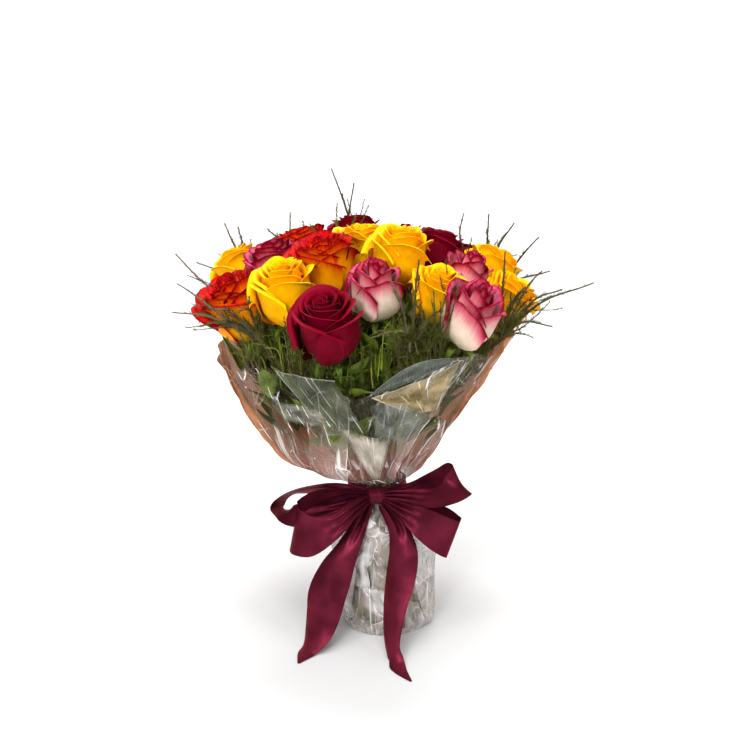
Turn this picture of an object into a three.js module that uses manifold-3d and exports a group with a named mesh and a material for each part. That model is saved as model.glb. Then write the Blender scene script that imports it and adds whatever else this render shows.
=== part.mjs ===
// A hand-tied rose bouquet: twenty-two roses and six fern sprays bound in a spiral, wrapped in film
// that is closed under the stems, and tied with a satin ribbon.
// Millimetres, +Z up. The origin is the middle of the foot on the surface it stands on, and -Y is the front.

import * as THREE from "three";
import { mergeVertices } from "three/addons/utils/BufferGeometryUtils.js";
import Module from "manifold-3d";

const wasm = await Module();
wasm.setup();
const { Manifold, Mesh } = wasm;

// ---------------------------------------------------------------- driving dimensions

const TURN = 2 * Math.PI;
const CLEARANCE = 0.3; // left between neighbours that touch

// The bound bundle of stems
const BIND_HEIGHT = 128;
const HEAD_PLANE = 300; // height at which the bundle has its full spread
const STEMS_FLOOR = 2.2; // the cut ends stand on the film
const BIND_SPREAD = 0.14; // spread of the stems at the binding, as a share of that at the heads
const FOOT_SPREAD = 0.26;
const STEM_RADIUS = 2;
const STEM_SIDES = 4;
const NECK_LENGTH = 28; // from the end of the spiral to the head
const STEM_STEPS = 8;

// A rose head at size 1
const BLOOM_RADIUS = 24.5;
const BLOOM_LENGTH = 58;
const CALYX_RADIUS = 6.4;
const CALYX_LENGTH = 9;
const SEPAL_LENGTH = 18;

// Foliage
const LEAF_THICKNESS = 0.7;
const LEAF_LENGTH = 64;
const LEAF_WIDTH = 40;
const WAND_RADIUS = 0.8;
const WAND_STEPS = 10;
const NEEDLE_REACH = 9;
const WAND_RISE = 9; // how far a wand arches above the straight line

// The film
const FILM_THICKNESS = 0.8;
const FILM_FLOOR = 1.2;
const FILM_COLUMNS = 24;

// The ribbon
const RIBBON_WIDTH = 38;
const RIBBON_THICKNESS = 0.9;
const WAIST_X = -9;
const TWINE_RADIUS = 21.7;
const BAND_RADIUS = 25.8;
const BAND_HEIGHT = 12;
const KNOT_CENTRE = new THREE.Vector3(WAIST_X, -34.5, 129);

// ---------------------------------------------------------------- finishes

const finish = (colour, roughness = 0.6, extra = {}) =>
  new THREE.MeshStandardMaterial({ color: colour, roughness, metalness: 0, ...extra });

const FINISH = {
  yellow: finish(0xffb906, 0.55),
  red: finish(0x8f0720, 0.6),
  burgundy: finish(0x6e0a1e, 0.6),
  flame: finish(0xe05a12, 0.55),
  pink: finish(0xd88396, 0.55),
  green: finish(0x4c6420, 0.6),
  fern: finish(0x53642a, 0.7),
  film: finish(0xe8e0d8, 0.1, { transparent: true, opacity: 0.35 }),
  ribbon: finish(0x5e0a24, 0.35),
  twine: finish(0x9a7f55, 0.9),
};

// ---------------------------------------------------------------- the roses

// Each rose: the middle of its head, its size, and in degrees its nod outwards and its turn about its stem.
const ROSES = [
  { finish: "flame", at: [-129, -35, 307], size: 1.08, nod: 31, turn: 20 },
  { finish: "yellow", at: [-86, -67, 325], size: 1.0, nod: 17, turn: 200 },
  { finish: "red", at: [-49, -108, 305], size: 1.06, nod: 27, turn: 75 },
  { finish: "pink", at: [-11, -77, 330], size: 0.92, nod: 12, turn: 130 },
  { finish: "pink", at: [68, -88, 304], size: 1.04, nod: 31, turn: 250 },
  { finish: "yellow", at: [41, -52, 321], size: 0.86, nod: 17, turn: 10 },
  { finish: "yellow", at: [103, -14, 306], size: 0.9, nod: 30, turn: 160 },
  { finish: "flame", at: [-55, -27, 342], size: 1.0, nod: 14, turn: 300 },
  { finish: "yellow", at: [9, -22, 348], size: 0.98, nod: 6, turn: 40 },
  { finish: "yellow", at: [-21, 16, 347], size: 0.94, nod: 4, turn: 220 },
  { finish: "burgundy", at: [43, 24, 339], size: 0.94, nod: 14, turn: 110 },
  { finish: "pink", at: [68, -18, 330], size: 0.84, nod: 19, turn: 90 },
  { finish: "yellow", at: [92, 40, 322], size: 0.94, nod: 27, turn: 330 },
  { finish: "flame", at: [-75, 47, 339], size: 0.96, nod: 18, turn: 60 },
  { finish: "pink", at: [-98, -1, 334], size: 0.92, nod: 20, turn: 180 },
  { finish: "yellow", at: [-131, 41, 321], size: 0.94, nod: 29, turn: 280 },
  { finish: "pink", at: [18, 64, 338], size: 0.92, nod: 15, turn: 15 },
  { finish: "burgundy", at: [-29, 67, 343], size: 1.02, nod: 14, turn: 240 },
  { finish: "red", at: [63, 84, 316], size: 1.0, nod: 28, turn: 145 },
  { finish: "yellow", at: [4, 116, 306], size: 1.0, nod: 30, turn: 95 },
  { finish: "pink", at: [-55, 112, 308], size: 1.0, nod: 30, turn: 350 },
  { finish: "flame", at: [-106, 87, 310], size: 1.0, nod: 31, turn: 205 },
];
const DOME_CENTRE = new THREE.Vector2(-12, 3);

// A head from its base up over the outer petals' lips to the bud: radius and height as shares of its
// size, how many petals shape it there, how far each laps over the next, and how far their corners dip.
const BLOOM_ROWS = [
  { radius: 0.24, height: 0, petals: 5, lap: 0, dip: 0 },
  { radius: 0.7, height: 0.15, petals: 5, lap: 0.03, dip: 0 },
  { radius: 0.93, height: 0.42, petals: 5, lap: 0.06, dip: 0.01 },
  { radius: 0.93, height: 0.7, petals: 5, lap: 0.06, dip: 0.05 },
  { radius: 1.13, height: 0.84, petals: 5, lap: 0.07, dip: 0.13 },
  { radius: 1.0, height: 0.88, petals: 5, lap: 0.07, dip: 0.14 },
  { radius: 0.7, height: 0.6, petals: 5, lap: 0, dip: 0 },
  { radius: 0.72, height: 0.94, petals: 3, lap: 0.07, dip: 0.07 },
  { radius: 0.58, height: 0.95, petals: 3, lap: 0.06, dip: 0.08 },
  { radius: 0.42, height: 0.72, petals: 3, lap: 0, dip: 0 },
  { radius: 0.27, height: 0.98, petals: 3, lap: 0.04, dip: 0 },
];
const BLOOM_COLUMNS = 15;
const BLOOM_PIT = 0.84;

// ---------------------------------------------------------------- geometry helpers

const vec = (x, y, z) => new THREE.Vector3(x, y, z);
const mix = THREE.MathUtils.lerp;

// A geometry as a solid, for joining and cutting.
function solidOf(geometry) {
  const bare = geometry.index ? geometry.toNonIndexed() : geometry.clone();
  for (const name of Object.keys(bare.attributes)) {
    if (name !== "position") bare.deleteAttribute(name);
  }
  const merged = mergeVertices(bare, 1e-3);
  return new Manifold(
    new Mesh({
      numProp: 3,
      vertProperties: merged.attributes.position.array,
      triVerts: new Uint32Array(merged.index.array),
    }),
  );
}

// A solid as a geometry again.
function geometryOf(solid) {
  const { vertProperties, triVerts, numProp } = solid.getMesh();
  const positions = new Float32Array((vertProperties.length / numProp) * 3);
  for (let i = 0; i < positions.length / 3; i++) {
    positions.set(vertProperties.subarray(i * numProp, i * numProp + 3), i * 3);
  }
  const geometry = new THREE.BufferGeometry();
  geometry.setAttribute("position", new THREE.BufferAttribute(positions, 3));
  geometry.setIndex(new THREE.BufferAttribute(triVerts, 1));
  geometry.computeVertexNormals();
  return geometry;
}

// The biggest of a solid's separate bodies, without any scrap that a join left loose.
function mainBody(solid) {
  const bodies = solid.decompose();
  return bodies.reduce((best, body) => (body.volume() > best.volume() ? body : best));
}

// Joins solids into one.
const fused = (solids) => mainBody(Manifold.union(solids));

// A geometry from points and triangles of their numbers.
function indexed(points, faces) {
  const geometry = new THREE.BufferGeometry().setFromPoints(points);
  geometry.setIndex(faces);
  return geometry;
}

// The unit normal of a grid of points at one of them. A grid with loop set closes round its columns.
function gridNormal(rows, i, j, loop) {
  const last = rows[0].length - 1;
  const before = loop ? (j + last) % (last + 1) : Math.max(j - 1, 0);
  const after = loop ? (j + 1) % (last + 1) : Math.min(j + 1, last);
  const across = rows[i][after].clone().sub(rows[i][before]);
  const up = rows[Math.min(i + 1, rows.length - 1)][j].clone().sub(rows[Math.max(i - 1, 0)][j]);
  return across.cross(up).normalize();
}

// A closed thin blade about a grid of middle points, split into triangles alike on both faces.
function blade(rows, thickness) {
  const columns = rows[0].length;
  const size = rows.length * columns;
  const points = [];
  for (const side of [0.5, -0.5]) {
    rows.forEach((row, i) =>
      row.forEach((p, j) =>
        points.push(p.clone().addScaledVector(gridNormal(rows, i, j, false), side * thickness)),
      ),
    );
  }
  const faces = [];
  const at = (i, j) => i * columns + j;
  for (let i = 0; i + 1 < rows.length; i++) {
    for (let j = 0; j + 1 < columns; j++) {
      const [a, b, c, d] = [at(i, j), at(i, j + 1), at(i + 1, j + 1), at(i + 1, j)];
      faces.push(a, b, c, a, c, d);
      faces.push(a + size, c + size, b + size, a + size, d + size, c + size);
    }
  }
  const edge = [];
  for (let j = 0; j < columns; j++) edge.push(at(0, j));
  for (let i = 1; i < rows.length; i++) edge.push(at(i, columns - 1));
  for (let j = columns - 2; j >= 0; j--) edge.push(at(rows.length - 1, j));
  for (let i = rows.length - 2; i > 0; i--) edge.push(at(i, 0));
  edge.forEach((a, k) => {
    const b = edge[(k + 1) % edge.length];
    faces.push(a, a + size, b + size, a, b + size, b);
  });
  return indexed(points, faces);
}

// A closed body through rings of points, with a point at its bottom and one at its top.
function capped(rings, bottom, top) {
  const columns = rings[0].length;
  const points = [...rings.flat(), bottom, top];
  const [low, high] = [points.length - 2, points.length - 1];
  const last = (rings.length - 1) * columns;
  const faces = [];
  for (let j = 0; j < columns; j++) {
    const next = (j + 1) % columns;
    faces.push(low, next, j, high, last + j, last + next);
    for (let i = 0; i + 1 < rings.length; i++) {
      const [a, b] = [i * columns + j, i * columns + next];
      faces.push(a, b, b + columns, a, b + columns, a + columns);
    }
  }
  return indexed(points, faces);
}

// A regular section for a tube.
function section(radius, sides) {
  const corners = [];
  for (let k = 0; k < sides; k++) corners.push(polar(radius, (TURN * k) / sides));
  return new THREE.Shape(corners);
}

const polar = (radius, angle) => new THREE.Vector2(radius * Math.cos(angle), radius * Math.sin(angle));

// A solid tube along a smooth line through points.
function tube(points, radius, sides, steps) {
  return new THREE.ExtrudeGeometry(section(radius, sides), {
    extrudePath: new THREE.CatmullRomCurve3(points, false, "centripetal"),
    steps,
    bevelEnabled: false,
  });
}

// Places a geometry that is modelled along +Z at a point, along a direction, turned about it.
function placed(geometry, point, direction, turn = 0) {
  const aim = new THREE.Quaternion().setFromUnitVectors(vec(0, 0, 1), direction);
  const spin = new THREE.Quaternion().setFromAxisAngle(vec(0, 0, 1), turn);
  return geometry.applyQuaternion(aim.multiply(spin)).translate(point.x, point.y, point.z);
}

// ---------------------------------------------------------------- the spiral bundle

// The bundle is straight lines crossing at the binding, so its spread at a height is a hyperbola.
function bundleAt(z) {
  const rise = z - BIND_HEIGHT;
  const far = rise > 0 ? HEAD_PLANE - BIND_HEIGHT : BIND_HEIGHT - STEMS_FLOOR;
  const full = rise > 0 ? 1 : FOOT_SPREAD;
  const reach = (Math.sqrt(full ** 2 - BIND_SPREAD ** 2) / far) * rise;
  return {
    spread: Math.hypot(BIND_SPREAD, reach),
    turn: Math.atan2(reach, BIND_SPREAD),
    centre: bundleCentre(z),
  };
}

// The bouquet leans a little to its left above the foot.
function bundleCentre(z) {
  const x =
    z < BIND_HEIGHT
      ? mix(0, WAIST_X, z / BIND_HEIGHT)
      : mix(WAIST_X, DOME_CENTRE.x, (z - BIND_HEIGHT) / (HEAD_PLANE - BIND_HEIGHT)) -
        12 * Math.sin(Math.PI * Math.min(1, (z - BIND_HEIGHT) / (HEAD_PLANE - BIND_HEIGHT)));
  const y = z < BIND_HEIGHT ? 0 : mix(0, DOME_CENTRE.y, (z - BIND_HEIGHT) / (HEAD_PLANE - BIND_HEIGHT));
  return new THREE.Vector2(x, y);
}

// Where a stem that ends at top passes at another height.
function stemPoint(top, z) {
  const end = bundleAt(top.z);
  const here = bundleAt(z);
  const flat = new THREE.Vector2(top.x, top.y).sub(end.centre);
  flat.rotateAround(new THREE.Vector2(), here.turn - end.turn);
  flat.multiplyScalar(here.spread / end.spread).add(here.centre);
  return vec(flat.x, flat.y, z);
}

// The way of a stem from its cut end up through the binding to top.
function bundleLine(top) {
  const shares = [0, 0.17, 0.34, 0.5, 0.67, 0.84, 1];
  return shares.map((share) => stemPoint(top, mix(STEMS_FLOOR, top.z, share)));
}

// The direction in which something at x, y leans when it nods outwards from the dome.
function nodding(x, y, degrees) {
  const out = new THREE.Vector2(x, y).sub(DOME_CENTRE).normalize();
  const angle = THREE.MathUtils.degToRad(degrees);
  return vec(out.x * Math.sin(angle), out.y * Math.sin(angle), Math.cos(angle));
}

// ---------------------------------------------------------------- blooms

// A whole rose head along +Z from its base. In each whorl a petal's one side stands over the next petal's.
function bloom(size) {
  const rings = BLOOM_ROWS.map(({ radius, height, petals, lap, dip }) =>
    Array.from({ length: BLOOM_COLUMNS }, (_, j) => {
      const outer = Math.floor(j / 3) + 0.5 + 0.41 * ((j % 3) - 1);
      const share = petals === 5 ? outer % 1 : (outer * 0.6) % 1;
      const s = 2 * share - 1;
      const flat = polar((radius + lap * s - 0.3 * dip * s * s) * BLOOM_RADIUS * size, (TURN * outer) / 5);
      return vec(flat.x, flat.y, (height - dip * s * s) * BLOOM_LENGTH * size);
    }),
  );
  return capped(rings, vec(0, 0, 0), vec(0, 0, BLOOM_PIT * BLOOM_LENGTH * size));
}

// ---------------------------------------------------------------- stems and leaves

// A round hip with five pointed sepals folded back from it, along +Z up to the bloom's base.
function calyx(size) {
  const ring = (radius, z) =>
    Array.from({ length: 10 }, (_, j) => {
      const flat = polar(radius(j % 2) * size, (TURN * j) / 10);
      return vec(flat.x, flat.y, z(j % 2) * size);
    });
  const rings = [
    ring(() => 1.5 * STEM_RADIUS, () => -CALYX_LENGTH),
    ring((tip) => (tip ? SEPAL_LENGTH : CALYX_RADIUS), (tip) => (tip ? -0.9 : -0.3) * CALYX_LENGTH),
    ring(() => 0.6 * CALYX_RADIUS, () => 0),
  ];
  return capped(rings, vec(0, 0, -CALYX_LENGTH * size), vec(0, 0, 0));
}

// A leaf of three leaflets from a point along a direction, as one blade folded along its rib.
function leaf(point, along) {
  const across = along.clone().cross(vec(0, 0, 1)).normalize();
  const up = across.clone().cross(along);
  const rows = LEAF_OUTLINE.map(([reach, share, rise]) =>
    [-1, 0, 1].map((s) =>
      point
        .clone()
        .addScaledVector(along, reach * LEAF_LENGTH)
        .addScaledVector(across, (s * share * LEAF_WIDTH) / 2)
        .addScaledVector(up, rise * LEAF_LENGTH + 0.07 * share * s * s * LEAF_WIDTH),
    ),
  );
  return solidOf(blade(rows, LEAF_THICKNESS));
}

// A rose's stem from its cut end to its head.
function stemSolid(under, top, axis) {
  const neck = top.clone().addScaledVector(axis, -0.8 * CALYX_LENGTH);
  return solidOf(tube([...bundleLine(under), neck], STEM_RADIUS, STEM_SIDES, STEM_STEPS));
}

// A leaf from its stalk to its tip: reach and rise as shares of its length, and share of its width.
const LEAF_OUTLINE = [
  [0, 0.05, 0],
  [0.4, 0.05, 0.02],
  [0.5, 0.62, 0.04],
  [0.58, 1, 0.02],
  [0.62, 0.34, 0.03],
  [0.67, 0.08, 0.03],
  [0.84, 0.5, 0.06],
  [1, 0.03, 0.02],
];

// Leaves: the rose whose stem carries each, the height where it leaves the stem, its bearing and its rise.
const LEAVES = [
  { stem: 3, at: 240, bearing: -60, lift: 55 },
  { stem: 4, at: 250, bearing: -80, lift: 65 },
  { stem: 5, at: 236, bearing: -120, lift: 55 },
  { stem: 1, at: 238, bearing: 150, lift: 50 },
  { stem: 16, at: 250, bearing: 180, lift: 50 },
  { stem: 7, at: 240, bearing: 40, lift: 50 },
  { stem: 19, at: 245, bearing: 70, lift: 55 },
  { stem: 21, at: 240, bearing: 125, lift: 55 },
];

// ---------------------------------------------------------------- fern sprays

// Each spray: the gap between heads that its stem makes for, and the tips that its wands reach.
const SPRAYS = [
  {
    gap: [14, -112],
    tips: [
      [-6, -136, 308],
      [16, -146, 296],
      [42, -132, 326],
      [24, -112, 362],
      [2, -112, 345],
    ],
  },
  {
    gap: [98, -58],
    tips: [
      [177, -30, 328],
      [148, -44, 325],
      [130, -46, 341],
      [112, -84, 335],
      [136, -76, 300],
      [98, -50, 358],
    ],
  },
  {
    gap: [92, 70],
    tips: [
      [136, 26, 359],
      [118, 66, 366],
      [96, 84, 372],
      [152, 60, 322],
    ],
  },
  {
    gap: [-20, 118],
    tips: [
      [-31, 110, 398],
      [-20, 150, 356],
      [16, 148, 352],
      [-52, 104, 412],
      [-84, 150, 342],
    ],
  },
  {
    gap: [-128, 68],
    tips: [
      [-138, 70, 362],
      [-150, 66, 366],
      [-176, 60, 330],
      [-140, 118, 346],
    ],
  },
  {
    gap: [-111, -71],
    tips: [
      [-182, -14, 346],
      [-180, -34, 328],
      [-181, -58, 308],
      [-146, -82, 316],
      [-112, -100, 330],
    ],
  },
];
const GATE_HEIGHT = 284; // where a spray divides, between the heads
const SPRAY_RADIUS = 1.2;
const TRIES = 24;

// One wand: a thin three-sided stem that arches from where the spray divides over to its tip. Along it
// every other ring has one corner drawn out into a needle.
function wand(fork, bend, tip) {
  const path = new THREE.CatmullRomCurve3([fork, bend, tip], false, "centripetal");
  const { tangents, normals, binormals } = path.computeFrenetFrames(WAND_STEPS, false);
  const rings = [];
  for (let i = 0; i < WAND_STEPS; i++) {
    const middle = path.getPointAt(i / WAND_STEPS);
    const thin = WAND_RADIUS * mix(1.2, 0.7, i / WAND_STEPS);
    rings.push(
      [0, 1, 2].map((k) => {
        const isNeedle = i > 0.3 * WAND_STEPS && i % 2 && k === (i >> 1) % 3;
        const flat = polar(isNeedle ? NEEDLE_REACH : thin, (TURN * k) / 3);
        const corner = middle.clone().addScaledVector(normals[i], flat.x);
        corner.addScaledVector(binormals[i], flat.y);
        return isNeedle ? corner.addScaledVector(tangents[i], 0.8 * NEEDLE_REACH) : corner;
      }),
    );
  }
  return solidOf(capped(rings, fork, tip));
}

// ---------------------------------------------------------------- the film

// Height, radius and sideways shift of the film from the foot's edge up to the rim.
const FILM_PROFILE = [
  { z: 0, radius: 39, x: 0 },
  { z: 8, radius: 45, x: 0 },
  { z: 84, radius: 49, x: -2 },
  { z: 107, radius: 44, x: 0 },
  { z: 116, radius: 30, x: -6 },
  { z: 121.5, radius: 24.4, x: WAIST_X },
  { z: 134.5, radius: 24.4, x: WAIST_X },
  { z: 140, radius: 36, x: -13 },
  { z: 149, radius: 51, x: -20 },
  { z: 160, radius: 62, x: -27 },
  { z: 180, radius: 80, x: -31 },
  { z: 228, radius: 108, x: -29 },
  { z: 248, radius: 117, x: -27 },
];

// The rim's corners and dips: bearing in degrees from +X, height and radius.
const RIM_X = -24;
const RIM_POINTS = [
  [0, 273, 128],
  [10, 285, 130],
  [30, 272, 127],
  [60, 288, 127],
  [92, 270, 127],
  [122, 284, 127],
  [150, 267, 127],
  [180, 264, 127],
  [208, 258, 127],
  [236, 273, 131],
  [268, 250, 124],
  [286, 262, 129],
  [303, 287, 146],
  [318, 274, 142],
  [338, 269, 131],
  [360, 273, 128],
];

// The rim's height and radius at a bearing.
function rimAt(degrees) {
  const next = Math.max(1, RIM_POINTS.findIndex(([bearing]) => bearing >= degrees));
  const [from, to] = [RIM_POINTS[next - 1], RIM_POINTS[next]];
  const share = (degrees - from[0]) / (to[0] - from[0]);
  return { z: mix(from[1], to[1], share), radius: mix(from[2], to[2], share), x: RIM_X };
}

// One ring of the film's outside. Every other column stands in, which pleats it.
function filmRing(at) {
  return Array.from({ length: FILM_COLUMNS }, (_, j) => {
    const degrees = (360 * j) / FILM_COLUMNS;
    const { z, radius, x } = at(degrees);
    const pleat = (j % 2 ? -1 : 1) * (0.012 * radius + 0.35);
    const flat = polar(radius + pleat, THREE.MathUtils.degToRad(degrees));
    return vec(flat.x + x, flat.y, z);
  });
}

// The film: one sheet, closed under the stems, drawn in at the binding and flared to a pointed rim.
function filmSolid() {
  const outside = [...FILM_PROFILE.map((row) => filmRing(() => row)), filmRing(rimAt)];
  const inside = outside.map((ring, i) =>
    ring.map((p, j) => {
      const inner = p.clone().addScaledVector(gridNormal(outside, i, j, true), -FILM_THICKNESS);
      return i ? inner : inner.setZ(FILM_FLOOR);
    }),
  );
  const rings = outside.length;
  const points = [...outside, ...inside].flat();
  const faces = [];
  const at = (i, j) => i * FILM_COLUMNS + (j % FILM_COLUMNS);
  for (let j = 0; j < FILM_COLUMNS; j++) {
    for (let i = 0; i + 1 < rings; i++) {
      const [a, b, c, d] = [at(i, j), at(i, j + 1), at(i + 1, j + 1), at(i + 1, j)];
      faces.push(a, b, c, a, c, d);
      const [e, f, g, h] = [a, b, c, d].map((n) => n + rings * FILM_COLUMNS);
      faces.push(e, g, f, e, h, g);
    }
    const [a, b] = [at(rings - 1, j), at(rings - 1, j + 1)];
    faces.push(a, b, b + rings * FILM_COLUMNS, a, b + rings * FILM_COLUMNS, a + rings * FILM_COLUMNS);
    const [under, above] = [points.length, points.length + 1];
    faces.push(under, at(0, j + 1), at(0, j));
    faces.push(above, at(rings, j), at(rings, j + 1));
  }
  points.push(vec(0, 0, 0), vec(0, 0, FILM_FLOOR));
  return solidOf(indexed(points, faces));
}

// ---------------------------------------------------------------- the ribbon

// A closed ring round the waist at the binding, from its inner and outer radius and its height.
function waistRing(inner, outer, height) {
  const [low, high] = [BIND_HEIGHT - height / 2, BIND_HEIGHT + height / 2];
  const profile = [
    [inner, low],
    [outer, low],
    [outer, high],
    [inner, high],
    [inner, low],
  ].map(([r, z]) => new THREE.Vector2(r, z));
  return new THREE.LatheGeometry(profile, 16).rotateX(Math.PI / 2).translate(WAIST_X, 0, 0);
}

// A strip of ribbon through stations, each a middle point, the direction across and the width there.
function strip(stations) {
  const rows = stations.map(({ at, across, width }) =>
    [-1, 1].map((s) => at.clone().addScaledVector(across, (s * width) / 2)),
  );
  return blade(rows, RIBBON_THICKNESS);
}

// The bow's loops: where each leaves the knot, which way it runs, which way it opens, and its sizes.
const LOOPS = {
  left_back: {
    root: [-20, -36, 133],
    out: [-0.99, 0.02, -0.1],
    open: [0, 0.95, 0.3],
    length: 84,
    depth: 5,
    width: 0.8 * RIBBON_WIDTH,
  },
  left_front: {
    root: [-18, -45, 128],
    out: [-0.86, -0.32, -0.42],
    open: [0, 0.75, 0.66],
    length: 76,
    depth: 15,
    width: RIBBON_WIDTH,
  },
  right_upper: {
    root: [1, -42, 134],
    out: [0.95, -0.04, 0.25],
    open: [-0.1, 0.78, 0.62],
    length: 75,
    depth: 13,
    width: RIBBON_WIDTH,
  },
  right_lower: {
    root: [1, -45, 125],
    out: [0.86, -0.22, -0.46],
    open: [0.1, 0.97, 0.1],
    length: 70,
    depth: 5,
    width: 0.95 * RIBBON_WIDTH,
  },
};
const LOOP_STEPS = 12;
const ROOT_WIDTH = 11;
const ROOT_GAP = 2.6; // between the two ends of a loop, where they go into the knot

function loopSolid({ root, out, open, length, depth, width }) {
  const along = vec(...out).normalize();
  const across = along.clone().cross(vec(...open)).normalize();
  const opening = across.clone().cross(along).normalize();
  const stations = [];
  for (let k = 0; k <= LOOP_STEPS; k++) {
    const t = k / LOOP_STEPS;
    const reach = (1 - Math.cos(TURN * t)) / 2;
    const aside = depth * Math.sin(TURN * t) * mix(0.5, 1, reach) + (ROOT_GAP / 2) * Math.cos(Math.PI * t);
    stations.push({
      at: vec(...root).addScaledVector(along, reach * length).addScaledVector(opening, aside),
      across,
      width: mix(ROOT_WIDTH, width, THREE.MathUtils.smoothstep(reach, 0.06, 0.7)),
    });
  }
  return solidOf(strip(stations));
}

// The tails: middle points down to the surface, with the direction across and the visible width at each.
const TAILS = {
  left: [
    { at: [-16, -43, 119], across: [0.9, 0.1, 0.3], width: 11 },
    { at: [-25, -48, 106], across: [0.88, 0.1, 0.4], width: 16 },
    { at: [-38, -56, 88], across: [0.9, -0.1, 0.36], width: 24 },
    { at: [-48, -59, 69], across: [0.93, -0.2, 0.3], width: 32 },
    { at: [-56, -61, 50], across: [0.9, -0.3, 0.26], width: 36 },
    { at: [-61, -63, 32], across: [0.82, -0.5, 0.2], width: 36 },
    { at: [-66, -66, 15], across: [0.7, -0.66, 0.1], width: 33 },
    { at: [-71, -73, 3.5], across: [0.6, -0.78, 0.02], width: 24 },
    { at: [-78, -92, 0.5], across: [0.8, -0.6, 0], width: 3 },
  ],
  right: [
    { at: [-2.5, -43, 118], across: [0.85, -0.1, -0.3], width: 11 },
    { at: [2, -50, 106], across: [0.86, -0.1, -0.3], width: 18 },
    { at: [9, -57, 93], across: [0.9, -0.2, -0.2], width: 24 },
    { at: [12, -61, 79], across: [0.9, -0.4, 0], width: 29 },
    { at: [8, -64, 60], across: [0.84, -0.5, 0.1], width: 28 },
    { at: [3, -71, 40], across: [0.7, -0.66, 0.1], width: 26 },
    { at: [1, -79, 20], across: [0.55, -0.8, 0.1], width: 25 },
    { at: [4, -90, 5], across: [0.5, -0.85, 0.05], width: 24 },
    { at: [12, -108, 0.5], across: [0.8, -0.55, 0], width: 20 },
    { at: [20, -124, 0.5], across: [0.9, -0.4, 0], width: 4 },
  ],
};

const tailSolid = (stations) =>
  solidOf(
    strip(
      stations.map(({ at, across, width }) => ({
        at: vec(...at),
        across: vec(...across).normalize(),
        width,
      })),
    ),
  );

// ---------------------------------------------------------------- the bouquet

const number = (n) => String(n + 1).padStart(2, "0");

// The solids in place so far, with their names and boxes.
const standing = [];
const stand = (name, solid) => standing.push({ name, solid, box: solid.boundingBox() });

// Whether a solid keeps its distance from all that stands already, but for the one that it grows on.
function isClear(solid, besides) {
  const { min, max } = solid.boundingBox();
  return standing.every(({ name, solid: other, box }) => {
    const apart = min.some((low, k) => low > box.max[k] + CLEARANCE || max[k] < box.min[k] - CLEARANCE);
    return apart || name === besides || other.minGap(solid, 1) >= CLEARANCE;
  });
}

// The first of a spiral of tries about a wanted place that stands clear, or nothing.
function firstClear(attempt, besides) {
  for (let k = 0; k < TRIES; k++) {
    const made = attempt(polar(3.5 * Math.sqrt(k), 2.4 * k), k);
    if (isClear(made.solid, besides)) return made;
  }
  return null;
}

const bouquet = new THREE.Group();
bouquet.name = "rose_bouquet";

function add(name, solid, material) {
  const mesh = new THREE.Mesh(geometryOf(solid), material);
  mesh.name = name;
  bouquet.add(mesh);
}

// The film, the binding and the ribbon.
const knot = new THREE.SphereGeometry(1, 9, 6).scale(9.5, 6.2, 7.6).translate(...KNOT_CENTRE.toArray());
const wrapping = [
  ["film_wrap", filmSolid(), FINISH.film],
  ["binding_twine", solidOf(waistRing(TWINE_RADIUS, TWINE_RADIUS + 0.9, 6)), FINISH.twine],
  ["ribbon_band", solidOf(waistRing(BAND_RADIUS, BAND_RADIUS + 1.2, BAND_HEIGHT)), FINISH.ribbon],
  ["ribbon_knot", solidOf(knot), FINISH.ribbon],
  ...Object.entries(LOOPS).map(([name, loop]) => [`ribbon_loop_${name}`, loopSolid(loop), FINISH.ribbon]),
  ...Object.entries(TAILS).map(([name, tail]) => [`ribbon_tail_${name}`, tailSolid(tail), FINISH.ribbon]),
];
for (const [name, solid, material] of wrapping) {
  stand(name, solid);
  add(name, solid, material);
}

// The heads, each with its base and the way that it faces.
const heads = ROSES.map(({ finish: colour, at, size, nod, turn }, n) => {
  const axis = nodding(at[0], at[1], nod);
  const base = vec(...at).addScaledVector(axis, -0.5 * BLOOM_LENGTH * size);
  const solid = solidOf(placed(bloom(size), base, axis, THREE.MathUtils.degToRad(turn)));
  stand(`rose_${number(n)}_bloom`, solid);
  add(`rose_${number(n)}_bloom`, solid, FINISH[colour]);
  return { size, axis, base, under: base.clone().addScaledVector(axis, -NECK_LENGTH) };
});

// The stems under them.
const stems = heads.map(({ size, axis, base, under }, n) => {
  const top = base.clone().addScaledVector(axis, -CLEARANCE);
  const solid = fused([solidOf(placed(calyx(size), top, axis)), stemSolid(under, top, axis)]);
  stand(`rose_${number(n)}_stem`, solid);
  return solid;
});

// Leaves, on the stems where they find room between the heads.
for (const { stem, at, bearing, lift } of LEAVES) {
  const found = firstClear((step, k) => {
    const flat = polar(1, THREE.MathUtils.degToRad(bearing + 3 * step.x));
    const rise = THREE.MathUtils.degToRad(lift + 2 * step.y);
    const along = vec(flat.x * Math.cos(rise), flat.y * Math.cos(rise), Math.sin(rise));
    return { solid: leaf(stemPoint(heads[stem - 1].under, at - 2 * (k % 5)), along) };
  }, `rose_${number(stem - 1)}_stem`);
  if (found) {
    stems[stem - 1] = fused([stems[stem - 1], found.solid]);
    stand(`leaf_${stem}`, found.solid);
  }
}
stems.forEach((solid, n) => add(`rose_${number(n)}_stem`, solid, FINISH.green));

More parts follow.
